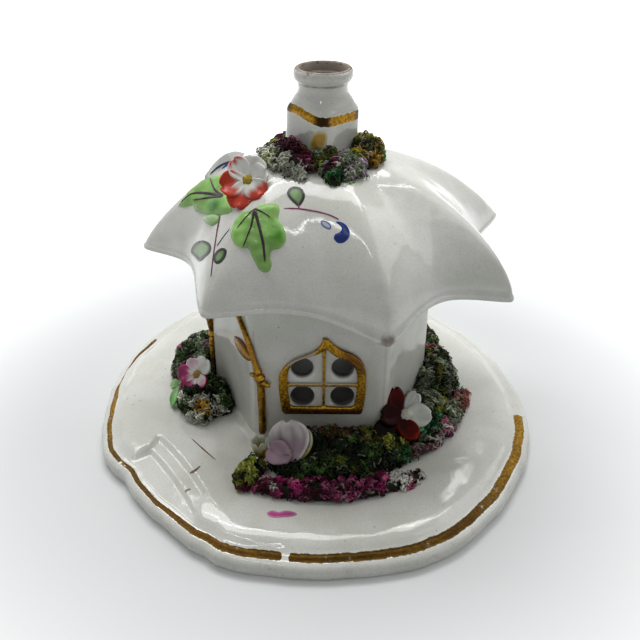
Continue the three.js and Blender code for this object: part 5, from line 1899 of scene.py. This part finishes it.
GREY_INK = "4f4a4a"
PLUM = "6b3352"
PLUM_RED = "8a4468"
LEAF_PAINT = filled("7d9c6c", "3c3f3c", 3.0)
PAINT_SPACING = 0.8
PAINTED = [  # name, outline, paint and slot
    (
        "spray_leaf_left",
        [
            (191, 252), (193.5, 245), (199, 241), (206, 241), (211, 245.5), (210.5, 252),
            (206, 257), (200, 261.5), (196, 258),
        ],
        LEAF_PAINT, "green_enamel",
    ),
    (
        "spray_leaf_middle",
        [
            (213.5, 256), (217, 250.5), (222, 248), (226.5, 250), (226, 256), (222, 262),
            (217, 264), (213.5, 261),
        ],
        LEAF_PAINT, "green_enamel",
    ),
    (
        "spray_leaf_top",
        [
            (287, 193), (290, 188), (296, 186.5), (302, 189), (305, 195), (303.5, 201),
            (299, 206.5), (294, 203.5), (289, 198),
        ],
        LEAF_PAINT, "green_enamel",
    ),
    (
        "spray_berry",
        [
            (336, 222), (341, 222), (346, 225), (349.5, 231), (349, 237.5), (344, 242.5),
            (338, 243), (334, 239), (335, 234.5), (340, 232), (341.5, 227.5),
        ],
        filled("0e2a6e", "1c3c8c", 1.5), "porcelain",
    ),
    (
        "spray_berry_pale",
        [(321, 221), (326, 221), (331, 225.5), (330, 229.5), (325, 228), (321.5, 225)],
        filled("c4cbdc", "5468a8", 1.3), "porcelain",
    ),
]
STEMS = [  # name, line, widths and colour
    (
        "spray_stem_left", [(220, 215), (217, 232), (213.5, 255), (211, 277)],
        [1.1, 0.8, 0.6, 0.5], PLUM,
    ),
    ("spray_stem_thin", [(229.5, 229.5), (224, 236), (217, 246)], [0.3, 0.35, 0.5], "5a5c78"),
    (
        "spray_stem_right",
        [(284, 208.3), (299, 208.7), (311, 210.5), (323, 213), (332, 216), (339, 219.5)],
        [0.35, 0.5, 0.4, 0.5], PLUM_RED,
    ),
    ("spray_stem_short", [(298.6, 203), (299, 208.5)], [0.45], PLUM_RED),
]
for name, outline, colour_at, slot_name in PAINTED:
    patch(name, outline, roof_surface, PAINT_SPACING, paint_height, colour_at, slot_name)
for name, line, widths, colour in STEMS:
    stroke(name, line, roof_surface, widths, colour)
print("painted", [row[0] for row in PAINTED + STEMS])

# %% [markdown]
# A large white petal stands on the roof's shoulder behind the flower, with a few strokes of blue
# and grey on it. Small strays of green clay and more moss lie round the chimney's foot, and a patch
# of ochre is rubbed on the stack.

# %% The white petal behind the roof flower
PETAL_PIXEL = (206, 181)
point, normal = cast(*PETAL_PIXEL, roof_surface)
petal_spot = turned_to_camera((point - COTTAGE, normal), 0.5, 0.3)
# painted light: this petal is whiter than the other white clay, since it faces away from the lamps
tall_petal = petal(18, 14.5, 8.0, 1.0, "f0f1ec", "f6f6f3", 0.1, cup=0.4)
white_petal = flower("white_petal", [], petal_spot, [tall_petal], "porcelain", 0.5)
on_petal = surface_of(white_petal)
BLUE_PETAL = [(222, 170), (224, 166), (228, 163.5), (232.5, 163), (231, 168), (227, 171.5)]
UPPER_ARC = [(210, 174.5), (217, 168), (226, 163), (236, 160.5), (246, 157)]
LOWER_ARC = [(211, 179), (219, 174), (229, 170.5)]
blue = filled("4a6cc0", "2a3f86", 1.0)
patch("spray_petal_blue", BLUE_PETAL, on_petal, PAINT_SPACING, paint_height, blue, "porcelain")
stroke("spray_arc_upper", UPPER_ARC, on_petal, [0.4, 0.7, 0.6, 0.4], "4a5070")
stroke("spray_arc_lower", LOWER_ARC, on_petal, [0.3, 0.5, 0.3], GREY_INK)
print("white petal stands at", (point - COTTAGE).round(1))

# %% Small strays of colour round the chimney
PALE_LOBE = [
    (204, 217), (209, 214), (216, 213.5), (219.5, 217), (218, 223), (212, 226.5), (206.5, 224),
    (203.5, 220.5),
]
FRONT_NUB = [(327, 182), (333, 176), (342, 173)]
THIN_LEAF = [(349, 184), (353, 181.5), (357.5, 179)]
pale_green = filled("a9cf8e", "86b56c", 1.6)
patch("pale_lobe", PALE_LOBE, roof_surface, 0.9, leaf_height, pale_green, "green_enamel")
stroke("green_nub_front", FRONT_NUB, roof_surface, [1.8, 2.2, 1.4], "27452a", "green_enamel", 1.1)
stroke("thin_leaf", THIN_LEAF, roof_surface, [0.8, 1.2, 0.5], "6f9a56", "green_enamel", 0.4)


def clay_by_pixel(name, outline, surface, slot_name, palette, seed, per_area, lift):
    """Curls of clay on the part of a surface that is seen inside an outline of pixels."""
    rng = np.random.default_rng(seed)
    outline = smooth_curve(outline, 8 * len(outline), closed=True)
    low, high = outline.min(0), outline.max(0)
    tries = rng.uniform(low, high, (int((high - low).prod() * per_area), 2))
    tries = tries[inside_outline(tries, outline)]
    depth = edge_distance(tries, outline)
    hits = [cast(*p, surface) for p in tries]
    depth = depth[[hit is not None for hit in hits]]
    spots, normals = landed(hit for hit in hits if hit)
    places = spots + normals * lift * np.minimum(1, depth / 4)[:, None]
    return grow(name, places, normals, slot_name, palette, seed, rng)


stack_surface = surface_of(chimney)
CLAY_BY_PIXEL = [  # name, outline, surface, slot, palette, seed, tufts in a square pixel, lift
    (
        "clay_below_chimney",
        [
            (262, 152), (275, 150), (287, 156), (300, 166), (306, 176), (298, 180), (285, 174),
            (272, 170), (263, 163),
        ],
        roof_surface, "moss_grey", [(CLAY, 3), (PALE_CLAY, 3), (SAGE, 1)], 51, 0.22, 0.9,
    ),
    (
        "clump_at_stack_foot",
        [(316, 157), (322, 151), (331, 151), (337, 158), (333, 167), (321, 166)],
        stack_surface, "moss_yellow", [(LIME, 2), (OLIVE, 2), (SAGE, 1)], 54, 0.3, 0.9,
    ),
    (
        "clump_green", [(326, 178), (331, 172), (338, 170), (344, 173), (342, 180), (334, 184)],
        roof_surface, "moss_green", [(EMERALD, 1), (DARK, 1), (GREEN, 2)], 52, 0.35, 1.6,
    ),
    (
        "clump_lilac",
        [
            (336, 166), (340, 156), (349, 152), (359, 156), (365, 166), (362, 176), (350, 180),
            (340, 177),
        ],
        roof_surface, "moss_grey", [(SAGE, 3), (LILAC, 2), (CLAY, 2), (GREEN, 1)], 53, 0.25, 2.0,
    ),
]
print("curls laid by pixel", sum(clay_by_pixel(*row) for row in CLAY_BY_PIXEL))
OCHRE_PATCH = [
    (310, 148), (310.5, 140), (314, 133), (322, 131.5), (327.5, 134), (327, 142), (325, 148),
    (317, 151),
]
ochre = filled("b48f34", "c9bf9a", 2.4)
patch("ochre_patch", OCHRE_PATCH, stack_surface, 1.0, paint_height, ochre, "yellow_enamel")

# %% [markdown]
# The base carries a few strays of the decorator's hand: a dab of magenta in front of the moss, a
# brown hairline by the steps and two short brown marks on them. Last comes a small green leaf of
# three lobes, pressed into the bank left of the door.

# %% Marks on the base
base_surface = surface_of(base)
DAB = [
    (267, 513), (272, 510.5), (279, 512), (286, 510.5), (294, 512), (297, 514.5), (293, 516.5),
    (283, 517.5), (275, 518), (269, 516.5),
]
STEP_BROWN = "7c6654"
HAIR_BROWN = "6e4230"
BASE_MARKS = [  # name, line, widths, colour and height
    ("hairline", [(191.5, 438.5), (203, 449), (215.7, 460)], [0.25, 0.45, 0.3], HAIR_BROWN, 0.05),
    ("mark_upper", [(190, 473), (195, 470.5), (200.5, 466)], [0.5, 0.9, 0.4], STEP_BROWN, 0.04),
    ("mark_lower", [(185, 492), (187.5, 490), (191, 489)], [0.4, 0.8, 0.4], STEP_BROWN, 0.04),
]
magenta = filled("b04c86", "c07a9c", 1.6)
patch("magenta_dab", DAB, base_surface, 0.9, paint_height, magenta, "pink_enamel")
for name, line, widths, colour, height in BASE_MARKS:
    stroke("brown_" + name, line, base_surface, widths, colour, "porcelain", height)
print("marks on the base", [row[0] for row in BASE_MARKS])

# %% The leaf on the left bank: three small lobes
flower(
    "leaf_on_left", ["leaf_left"], LEFT_LEAF_SPOT,
    [
        petal(236, 7.4, 4.0, -0.8, "8fb87c", "74b060", 0.3),
        petal(150, 3.8, 3.6, 0.2, "7a9f66", "9cc08a", 0.3),
        petal(20, 4.0, 3.4, -0.6, "6f9e58", "7f9f70", 0.2),
    ],
    "green_enamel",
)
print("leaf on the left bank faces", LEFT_LEAF_SPOT[1].round(2))
